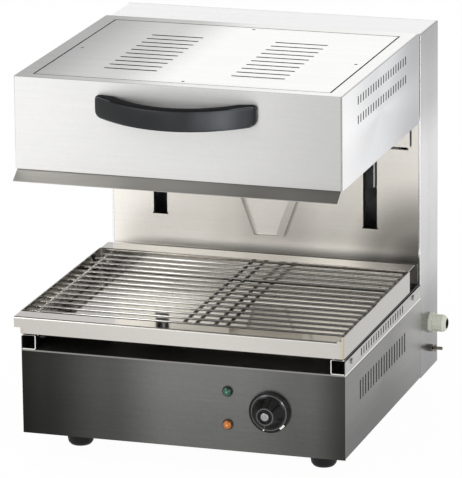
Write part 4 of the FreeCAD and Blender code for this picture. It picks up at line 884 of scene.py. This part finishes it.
def make_knob():
    low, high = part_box("control_knob")
    centre = middle_at(low, high, 1, high.y)
    length = high.y - low.y
    cap_low, cap_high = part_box("knob_cap")
    cap_radius = (cap_high.x - cap_low.x) / 2
    seat = high.y - cap_high.y

    def fluted(reach, angle):
        """Shallow flutes along the grip, that run out before its nose."""
        share = (reach - GRIP_START) / (length - FLUTE_END - GRIP_START)
        depth = FLUTE_DEPTH * math.sin(math.pi * min(max(share, 0.0), 1.0)) ** 0.6
        return 1.0 - depth * (0.5 + 0.5 * math.cos(KNOB_FLUTES * angle)) ** 2

    outline = [
        (0.0, 26.5 * MM), (0.0, KNOB_SKIRT), (RIM, KNOB_SKIRT), (RIM + 0.1 * MM, KNOB_BEVEL_OUT),
        (GRIP_START - 0.5 * MM, KNOB_BEVEL_IN), (GRIP_START, 21.2 * MM),
        (length - 0.4 * MM, KNOB_NOSE + 0.2 * MM), (length, KNOB_NOSE - 1.0 * MM), (length, KNOB_RECESS),
        (seat + 0.2 * MM, KNOB_RECESS - 0.6 * MM), (seat, cap_radius + 0.2 * MM),
    ]
    profile = []
    for point in softened(outline, 0.8 * MM, 4):
        if profile and profile[-1][0] < GRIP_START + 0.5 * MM and point[0] > length - 2 * MM:
            begin = profile[-1]
            for step in range(1, 16):
                t = step / 16
                profile.append(tuple(begin[i] + (point[i] - begin[i]) * t for i in range(2)))
        profile.append(point)
    form = Form()
    turned(form, centre, -Y, profile, KNOB_SIDES, fluted)
    make_piece("dial_knob", form, "dial", "knob_plastic", ["control_knob"], 32.0)
    # Thin rings on the bevel and the nose edge: a painted highlight where the edges catch the light.
    lines = Form()
    for ring in (
        [(5.3 * MM, 23.2 * MM), (5.3 * MM, 24.7 * MM), (6.3 * MM, 23.4 * MM), (6.3 * MM, 22.6 * MM)],
        [(length - 1.0 * MM, 10.2 * MM), (length - 0.6 * MM, 11.9 * MM), (length + 0.15 * MM, 11.2 * MM),
         (length + 0.15 * MM, 10.2 * MM)],
    ):
        turned(lines, centre, -Y, ring, 96, looped=True)
    make_piece("dial_painted_edge_highlights", lines, "dial", "knob_plastic", material=DETAILS["painted_edge_highlight"])
    make_knob_marks(centre)
    make_knob_disc(centre, seat, high.y - cap_low.y, cap_radius)


def make_knob_marks(centre):
    """White block and dot on the skirt."""

    def squared(reach, angle):
        """Brings a circle near to a square."""
        return max(abs(math.cos(angle)), abs(math.sin(angle))) ** -0.8

    marks = Form()
    for turn, radius, half_length, half_height in (
        (MARK_TURN, 24.9 * MM, 4.0 * MM, 2.3 * MM),
        (DOT_TURN, 25.2 * MM, 1.0 * MM, 1.2 * MM),
    ):
        outward = X * math.cos(turn) + Z * math.sin(turn)
        sideways = X * -math.sin(turn) + Z * math.cos(turn)
        middle = centre + outward * radius
        axes = (sideways * half_length, outward * half_height)
        marks.skin([
            ring_of(middle - Y * reach, axes, share, 24, squared)
            for reach, share in ((RIM - 1.0 * MM, 1.0), (RIM + 0.55 * MM, 1.0), (RIM + 0.7 * MM, 0.9))
        ])
    make_piece("dial_marks", marks, "dial", "knob_plastic", material=DETAILS["mark_white"])


def make_knob_disc(centre, seat, proud, radius):
    """Metal disc with two dark upright slots."""
    cap = Form()
    outline = [(seat, radius), (proud - 0.5 * MM, radius), (proud, radius - 1.1 * MM), (proud, 0.4 * MM)]
    turned(cap, centre, -Y, softened(outline, 0.4 * MM), 48)
    disc = make_piece("dial_cap", cap, "dial", "cap_metal", ["knob_cap"])
    slots = Form()
    for side in (-1, 1):
        place = centre + X * side * 1.9 * MM - Y * (proud - 0.5 * MM)
        turned(slots, place, -Y, [(0.0, 1.4 * MM), (1.5 * MM, 1.4 * MM)], 24,
               lambda reach, angle: 0.7 + 1.1 * math.sin(angle) ** 2)
    cut_out(disc, slots, MATERIALS["rubber_black"])


# Indicator lamps

LENS_RIM = 1.4 * MM
LENS_DOME_SHARE = 0.88
LENS_STEPS = 9


def make_lamp_lens(node, name, slot):
    low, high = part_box(node)
    radius = (high.x - low.x) / 2
    height = high.y - low.y
    centre = middle_at(low, high, 1, high.y)
    dome = radius * LENS_DOME_SHARE
    profile = [(0.0, radius * 0.98), (0.9 * MM, radius), (1.3 * MM, radius * 0.97), (LENS_RIM, dome)]
    for step in range(1, LENS_STEPS):
        angle = 0.5 * math.pi * step / LENS_STEPS
        profile.append((LENS_RIM + (height - LENS_RIM) * math.sin(angle), dome * math.cos(angle)))
    profile.append((height, radius * 0.06))
    form = Form()
    turned(form, centre, -Y, profile, 48)
    make_piece(name, form, "cabinet", slot, [node], 30.0)


# Wire grid, heating elements and ropes

SPOT_SHARE = 0.9


def make_wire_grid():
    """Round wires laid across four bars, welded where they cross; the outer bars end in feet."""
    form = Form()
    inner = Form()
    wires = []
    bars = []
    for low, high in solids_of("wire_grid"):
        middle = (low + high) / 2
        if high.x - low.x > high.y - low.y:
            wire_radius = (high.y - low.y) / 2
            wires.append(middle)
            swept(form, [middle_at(low, high, 0, low.x), middle_at(low, high, 0, high.x)], wire_radius)
            continue
        radius = (high.x - low.x) / 2
        bars.append(middle.x)
        level = high.z - radius
        if high.z - low.z < 3 * radius:
            swept(inner, [Vector((middle.x, y, level)) for y in (low.y, high.y)], radius)
            continue
        bend = 2 * radius
        front, rear = low.y + radius, high.y - radius
        path = [Vector((middle.x, front, low.z)), Vector((middle.x, front, level - bend))]
        path += arc_points(Vector((middle.x, front + bend, level - bend)), path[-1], X, -0.5 * math.pi, 6)
        path.append(Vector((middle.x, rear - bend, level)))
        path += arc_points(Vector((middle.x, rear - bend, level - bend)), path[-1], X, -0.5 * math.pi, 6)
        path.append(Vector((middle.x, rear, low.z)))
        swept(form, path, radius)
    spot_radius = SPOT_SHARE * wire_radius
    for wire in wires:
        for x in bars:
            spot = Vector((x, wire.y, wire.z - wire_radius))
            rounds = [(reach * spot_radius, spot_radius * math.sqrt(1 - reach ** 2))
                      for reach in (-0.98, -0.8, -0.45, 0.0, 0.45, 0.8, 0.98)]
            turned(form, spot, X, rounds, 12)
    make_piece("wire_grid_rods", form, "grid", "grid_wire", ["wire_grid"])
    # The inner bars take a dark metal as painted shade under the wires.
    make_piece("wire_grid_inner_bars", inner, "grid", "grid_wire", material=DETAILS["painted_shade_bar_metal"])


ELEMENT_RADIUS = 4.0 * MM
ELEMENT_RUNS = 4
ELEMENT_REAR_INSET = 43.0 * MM


def make_heating_elements():
    """Two sheathed tubes, each bent to and fro under the reflector."""
    form = Form()
    for low, high in solids_of("heating_elements"):
        pitch = (high.x - low.x - 2 * ELEMENT_RADIUS) / (ELEMENT_RUNS - 1)
        bend = pitch / 2
        level = (low.z + high.z) / 2
        front = low.y + ELEMENT_RADIUS + bend
        rear = high.y - ELEMENT_REAR_INSET - bend
        x = low.x + ELEMENT_RADIUS
        path = [Vector((x, high.y, level)), Vector((x, front, level))]
        for run in range(ELEMENT_RUNS - 1):
            at_front = run % 2 == 0
            y = front if at_front else rear
            centre = Vector((x + bend, y, level))
            path += arc_points(centre, Vector((x, y, level)), Z, math.pi if at_front else -math.pi, 14)
            x += pitch
            path.append(Vector((x, rear if at_front else front, level)))
        path[-1] = Vector((x, high.y, level))
        swept(form, path, ELEMENT_RADIUS)
    make_piece("element_tubes", form, "hood", "element_sheath", ["heating_elements"])


ROPE_RADIUS = 1.25 * MM
ROPE_LAY = 11.0 * MM
ROPE_STRANDS = 6
ROPE_SIDES = 18
ROPE_STEP = 1.6 * MM


def strands(travelled, angle):
    """Outline of six strands that wind round the rope."""
    return 0.84 + 0.16 * abs(math.cos(0.5 * ROPE_STRANDS * (angle - TURN * travelled / ROPE_LAY)))


def make_ropes():
    for node, name, other in (
        ("ropes_to_carriage", "hood_ropes", "hood"),
        ("ropes_to_counterweight", "weight_ropes", "balance_weight"),
    ):
        form = Form()
        for low, high in solids_of(node):
            drop = high.z - low.z
            steps = max(int(drop / ROPE_STEP), 2)
            path = [middle_at(low, high, 2, high.z - drop * i / steps) for i in range(steps + 1)]
            swept(form, path, ROPE_RADIUS, ROPE_SIDES, False, strands)
        piece = make_piece(name, form, None, "rope_steel", [node])
        low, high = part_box(node)
        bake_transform(piece)
    form = Form()
    for low, high in solids_of("ropes_over_pulleys"):
        radius = (high.y - low.y) / 2 - ROPE_RADIUS
        centre = middle_at(low, high, 2, low.z)
        start = centre - Y * radius
        path = [start] + arc_points(centre, start, X, -math.pi, 32)
        swept(form, path, ROPE_RADIUS, ROPE_SIDES, False, strands)
    make_piece("pulley_ropes", form, "cabinet", "rope_steel", ["ropes_over_pulleys"])


PULLEY_WEB_INSET = 1.4 * MM
PULLEY_GROOVE = 4.6 * MM


def make_pulleys():
    """Moulded pulleys with a rope groove, thin web and a hub."""
    for node, name, body in (
        ("pulley_left", "grooved_pulley_left", "left_pulley"),
        ("pulley_right", "grooved_pulley_right", "right_pulley"),
    ):
        low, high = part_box(node)
        radius = (high.z - low.z) / 2
        width = high.x - low.x
        start = middle_at(low, high, 0, low.x)
        web = PULLEY_WEB_INSET
        half = [
            (0.6 * MM, 3.2 * MM), (0.0, 3.4 * MM), (0.0, 6.0 * MM), (web, 7.0 * MM),
            (web, radius - 5.0 * MM), (0.0, radius - 4.0 * MM), (0.0, radius), (0.8 * MM, radius),
        ]
        other_half = [(width - reach, size) for reach, size in reversed(half)]
        profile = softened(half + [(width / 2, radius - PULLEY_GROOVE)] + other_half, 0.8 * MM)
        form = Form()
        turned(form, start, X, profile, 64)
        piece = make_piece(name, form, body, "pulley_nylon", [node])
        bore_out(piece, (start - X * MM, X, width + 2 * MM, 3.05 * MM, 32))


# Feet

FOOT_RECESS_RADIUS = 5.8 * MM
FOOT_RECESS_DEPTH = 20.0 * MM


def make_feet():
    form = Form()
    recesses = []
    for low, high in solids_of("rubber_feet"):
        centre = middle_at(low, high, 2, 0.0)
        top = (high.x - low.x) / 2
        profile = softened(
            [
                (0.3 * MM, 6.4 * MM), (0.0, 7.0 * MM), (0.0, 13.4 * MM), (4.2 * MM, 17.0 * MM),
                (14.0 * MM, top * 0.93), (high.z - 2.5 * MM, top), (high.z - 1.9 * MM, top * 0.95),
                (high.z, top * 0.95),
            ],
            1.6 * MM, 4,
        )
        turned(form, centre, Z, profile, 56)
        recesses.append((centre - Z * MM, Z, FOOT_RECESS_DEPTH + MM, FOOT_RECESS_RADIUS, 32))
    piece = make_piece("moulded_feet", form, "cabinet", "rubber_black", ["rubber_feet"], 32.0)
    bore_out(piece, *recesses)


# Screws with a cross recess

SCREW_SIDES = 32
SCREW_HEAD = 1.6 * MM
SCREW_SHANK = 1.95 * MM
SCREW_LENGTH = 7.0 * MM
SCREW_PITCH = 0.8 * MM
CROSS_REACH = 0.52
CROSS_WIDTH = 0.14


def add_screw(form, recess, seat, out, radius):
    """Pan head over its shank, with the cross recess as a second form."""
    head = softened(
        [
            (0.0, SCREW_SHANK), (0.0, radius * 0.97), (SCREW_HEAD * 0.45, radius),
            (SCREW_HEAD, radius * 0.7), (SCREW_HEAD, 0.1 * MM),
        ],
        SCREW_HEAD * 0.45, 4,
    )
    turned(form, seat, out, head, SCREW_SIDES)
    steps = int(SCREW_LENGTH / (SCREW_PITCH / 4))
    thread = [(-SCREW_LENGTH * step / steps, SCREW_SHANK) for step in range(steps + 1)]
    turned(form, seat + out * 0.05 * MM, out, thread, 20, threads(SCREW_PITCH, 0.1))
    across, up = side_axes(out)
    bottom = seat + out * SCREW_HEAD * 0.35
    for along, beside in ((across, up), (up, across)):
        rings = []
        for lift, size in ((0.0, 0.6), (SCREW_HEAD, 1.0)):
            reach = along * radius * CROSS_REACH * size
            width = beside * radius * CROSS_WIDTH
            rings.append([bottom + out * lift + reach * a + width * b for a, b in CORNERS])
        recess.skin(rings)


def screws_of(node, name, body, out, material=None):
    """Replaces a node of screws, each placed by its box; out is the way their heads face."""
    form = Form()
    recesses = []
    axis = max(range(3), key=lambda i: abs(out[i]))
    for low, high in solids_of(node):
        half = (high - low) / 2
        radius = min(half[i] for i in range(3) if i != axis)
        recess = Form()
        add_screw(form, recess, low + half + out * (half[axis] - SCREW_HEAD), out, radius)
        recesses.append(recess)
    piece = make_piece(name, form, body, "zinc_fastener", [node], material=material)
    for recess in recesses:
        cut_out(piece, recess)


def make_screws():
    screws_of("top_cover_screws", "cover_screws", "hood", Z, DETAILS["cover_screw_metal"])
    screws_of("rear_cover_screws", "back_screws", "cabinet", Y)


# Cable gland and earth stud on the right of the column

GLAND_MOUTH = 7.25 * MM
GLAND_NOSE = 5.5 * MM
GLAND_THREAD = 10.05 * MM
CABLE_BORE = 5.2 * MM


def make_gland():
    low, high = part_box("gland_cap")
    start = middle_at(low, high, 0, low.x)
    radius = (high.y - low.y) / 2
    length = high.x - low.x

    def gripped(reach, angle):
        """Shallow flats round the gripping part, none on the nose."""
        flats = 12
        part = TURN / flats
        flat = math.cos(part / 2) / math.cos((angle % part) - part / 2)
        return 1.0 + (flat - 1.0) * 1.6 * (1.0 if reach < length - GLAND_NOSE else 0.0)

    profile = softened(
        [
            (0.0, 10.1 * MM), (0.0, radius - 0.6 * MM), (0.7 * MM, radius), (length - GLAND_NOSE, radius),
            (length - 4.4 * MM, radius - 0.5 * MM), (length - 1.2 * MM, radius - 2.6 * MM),
            (length, radius - 4.2 * MM), (length, GLAND_MOUTH),
        ],
        1.0 * MM, 4,
    )
    form = Form()
    inner = length - 3 * MM
    turned(form, start, X, profile + [(inner, GLAND_MOUTH), (inner, GLAND_MOUTH - 0.05 * MM)], 96, gripped)
    piece = make_piece("gland_dome_nut", form, "cabinet", "gland_plastic", ["gland_cap"], 28.0)
    bore_out(piece, (start - X * MM, X, 10.2 * MM, GLAND_THREAD, 48),
             (start + X * 4 * MM, X, length - 2 * MM, GLAND_MOUTH, 48))

    low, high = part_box("gland_seal")
    start = Vector((low.x, start.y, start.z))
    length = high.x - low.x
    seal = Form()
    turned(seal, start, X, softened([(0.0, 5.5 * MM), (0.0, 7.15 * MM), (length - 0.6 * MM, 7.15 * MM),
                                     (length, 6.6 * MM), (length, 5.5 * MM)], 0.5 * MM), 48)
    piece = make_piece("gland_rubber", seal, "cabinet", "rubber_black", ["gland_seal"])
    bore_out(piece, (start - X * MM, X, length + 2 * MM, CABLE_BORE, 40))


STUD_PITCH = 0.8 * MM


def make_earth_stud():
    low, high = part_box("earth_stud")
    start = middle_at(low, high, 0, low.x)
    radius = (high.y - low.y) / 2
    length = high.x - low.x
    steps = int(length / (STUD_PITCH / 6))
    profile = []
    for step in range(steps + 1):
        reach = length * step / steps
        to_end = min(reach, length - reach)
        profile.append((reach, radius - max(0.6 * MM - to_end, 0.0)))
    form = Form()
    turned(form, start, X, profile, 24, threads(STUD_PITCH, 0.08))
    make_piece("threaded_stud", form, "cabinet", "stud_brass", ["earth_stud"])
    nuts = Form()
    bore = 2.52 * MM
    for low, high in solids_of("earth_nuts"):
        thick = high.x - low.x
        radius = (high.y - low.y) / 2
        origin = Vector((low.x, start.y, start.z))
        washer = high.z - low.z < 2.1 * radius
        sides = 48 if washer else 6
        ease = 0.2 * MM if washer else 0.5 * MM
        corner = radius if washer else (high.z - low.z) / 2
        outline = [
            (0.0, bore), (0.0, corner - ease), (ease * 0.5, corner), (thick - ease * 0.5, corner),
            (thick, corner - ease), (thick, bore),
        ]
        turned(nuts, origin, X, outline, sides)
    make_piece("stud_nuts", nuts, "cabinet", "stud_brass", ["earth_nuts"])


# Studio: pale floor, soft lamps and a plain bright surround

FLOOR_REACH = 14.0
FLOOR_GLOW = 0.97


def make_floor():
    """Pale floor that takes shadows; it glows where it is seen, to stay near white."""
    mesh = bpy.data.meshes.new("floor")
    mesh.from_pydata([(x * FLOOR_REACH, y * FLOOR_REACH, 0) for x, y in CORNERS], [], [(0, 1, 2, 3)])
    floor = add_object("floor", mesh)
    look = Look(0.0, 0.7)
    look.material.name = "floor"
    look.set("Base Color", look.ramp(look.noise(3.0, 3.0), [(0.3, 0.80), (0.7, 0.82)]))
    look.set("Specular IOR Level", 0.1)
    glow = look.add("ShaderNodeEmission", {"Strength": 1.0})
    rays = look.add("ShaderNodeLightPath").outputs
    seen = look.math("MAXIMUM", rays["Is Camera Ray"], rays["Is Glossy Ray"])
    seen = look.math("MAXIMUM", seen, rays["Is Transmission Ray"])
    share = look.math("MULTIPLY", seen, FLOOR_GLOW)
    mixed = look.add("ShaderNodeMixShader", {0: share, 1: look.surface.outputs[0], 2: glow.outputs[0]})
    look.feed(look.output, mixed.outputs[0])
    mesh.materials.append(look.material)


REFLECTED_TONES = [
    (0.0, 0.93), (0.22, 1.0), (0.36, 1.0), (0.50, 0.50), (0.60, 0.12), (0.78, 0.12),
    (0.92, 0.36), (1.0, 0.42),
]
REFLECTED_LEVEL = 1.12
SURROUND_LEVEL = (0.98, 0.98, 0.98)


def make_surround():
    world = bpy.data.worlds.new("studio")
    bpy.context.scene.world = world
    world.use_nodes = True
    shader = Shader(world.node_tree)
    direction = shader.add("ShaderNodeTexCoord").outputs["Generated"]
    tone = shader.ramp(shader.part(direction, "Z"), REFLECTED_TONES)
    rays = shader.add("ShaderNodeLightPath").outputs
    reflected = shader.math("MULTIPLY", tone, REFLECTED_LEVEL)
    surround = shader.mix_colour(rays["Is Glossy Ray"], SURROUND_LEVEL, reflected)
    seen = shader.mix_colour(rays["Is Camera Ray"], surround, WHITE)
    background = shader.add("ShaderNodeBackground", {"Strength": 1.0, "Color": seen})
    shader.add("ShaderNodeOutputWorld", {"Surface": background.outputs[0]})


def make_lamp(name, place, target, size, power):
    data = bpy.data.lights.new(name, "AREA")
    data.shape = "RECTANGLE"
    data.size, data.size_y = size
    data.energy = power
    lamp = add_object(name, data)
    lamp.location = place
    lamp.rotation_euler = (Vector(target) - Vector(place)).to_track_quat("-Z", "Y").to_euler()


def make_studio():
    make_floor()
    make_surround()
    centre = (0, 0, 0.25)
    make_lamp("key", (-2.2, -2.6, 2.8), centre, (1.8, 1.8), 48)
    make_lamp("front", (-1.7, -3.4, 0.85), centre, (2.4, 1.2), 8)
    make_lamp("right", (2.05, -1.95, 1.35), centre, (0.4, 0.4), 12)
    make_lamp("strip", (0.95, -2.1, 0.15), (0.05, -0.2, 0.45), (0.5, 0.4), 4)
    bpy.context.scene.view_settings.view_transform = "Standard"


make_camera()
make_studio()
finish_cad_nodes()
make_handle()
make_knob()
make_lamp_lens("power_lamp_lens", "green_lens", "lens_green")
make_lamp_lens("heating_lamp_lens", "amber_lens", "lens_amber")
make_wire_grid()
make_heating_elements()
make_ropes()
make_pulleys()
make_feet()
make_screws()
make_gland()
make_earth_stud()
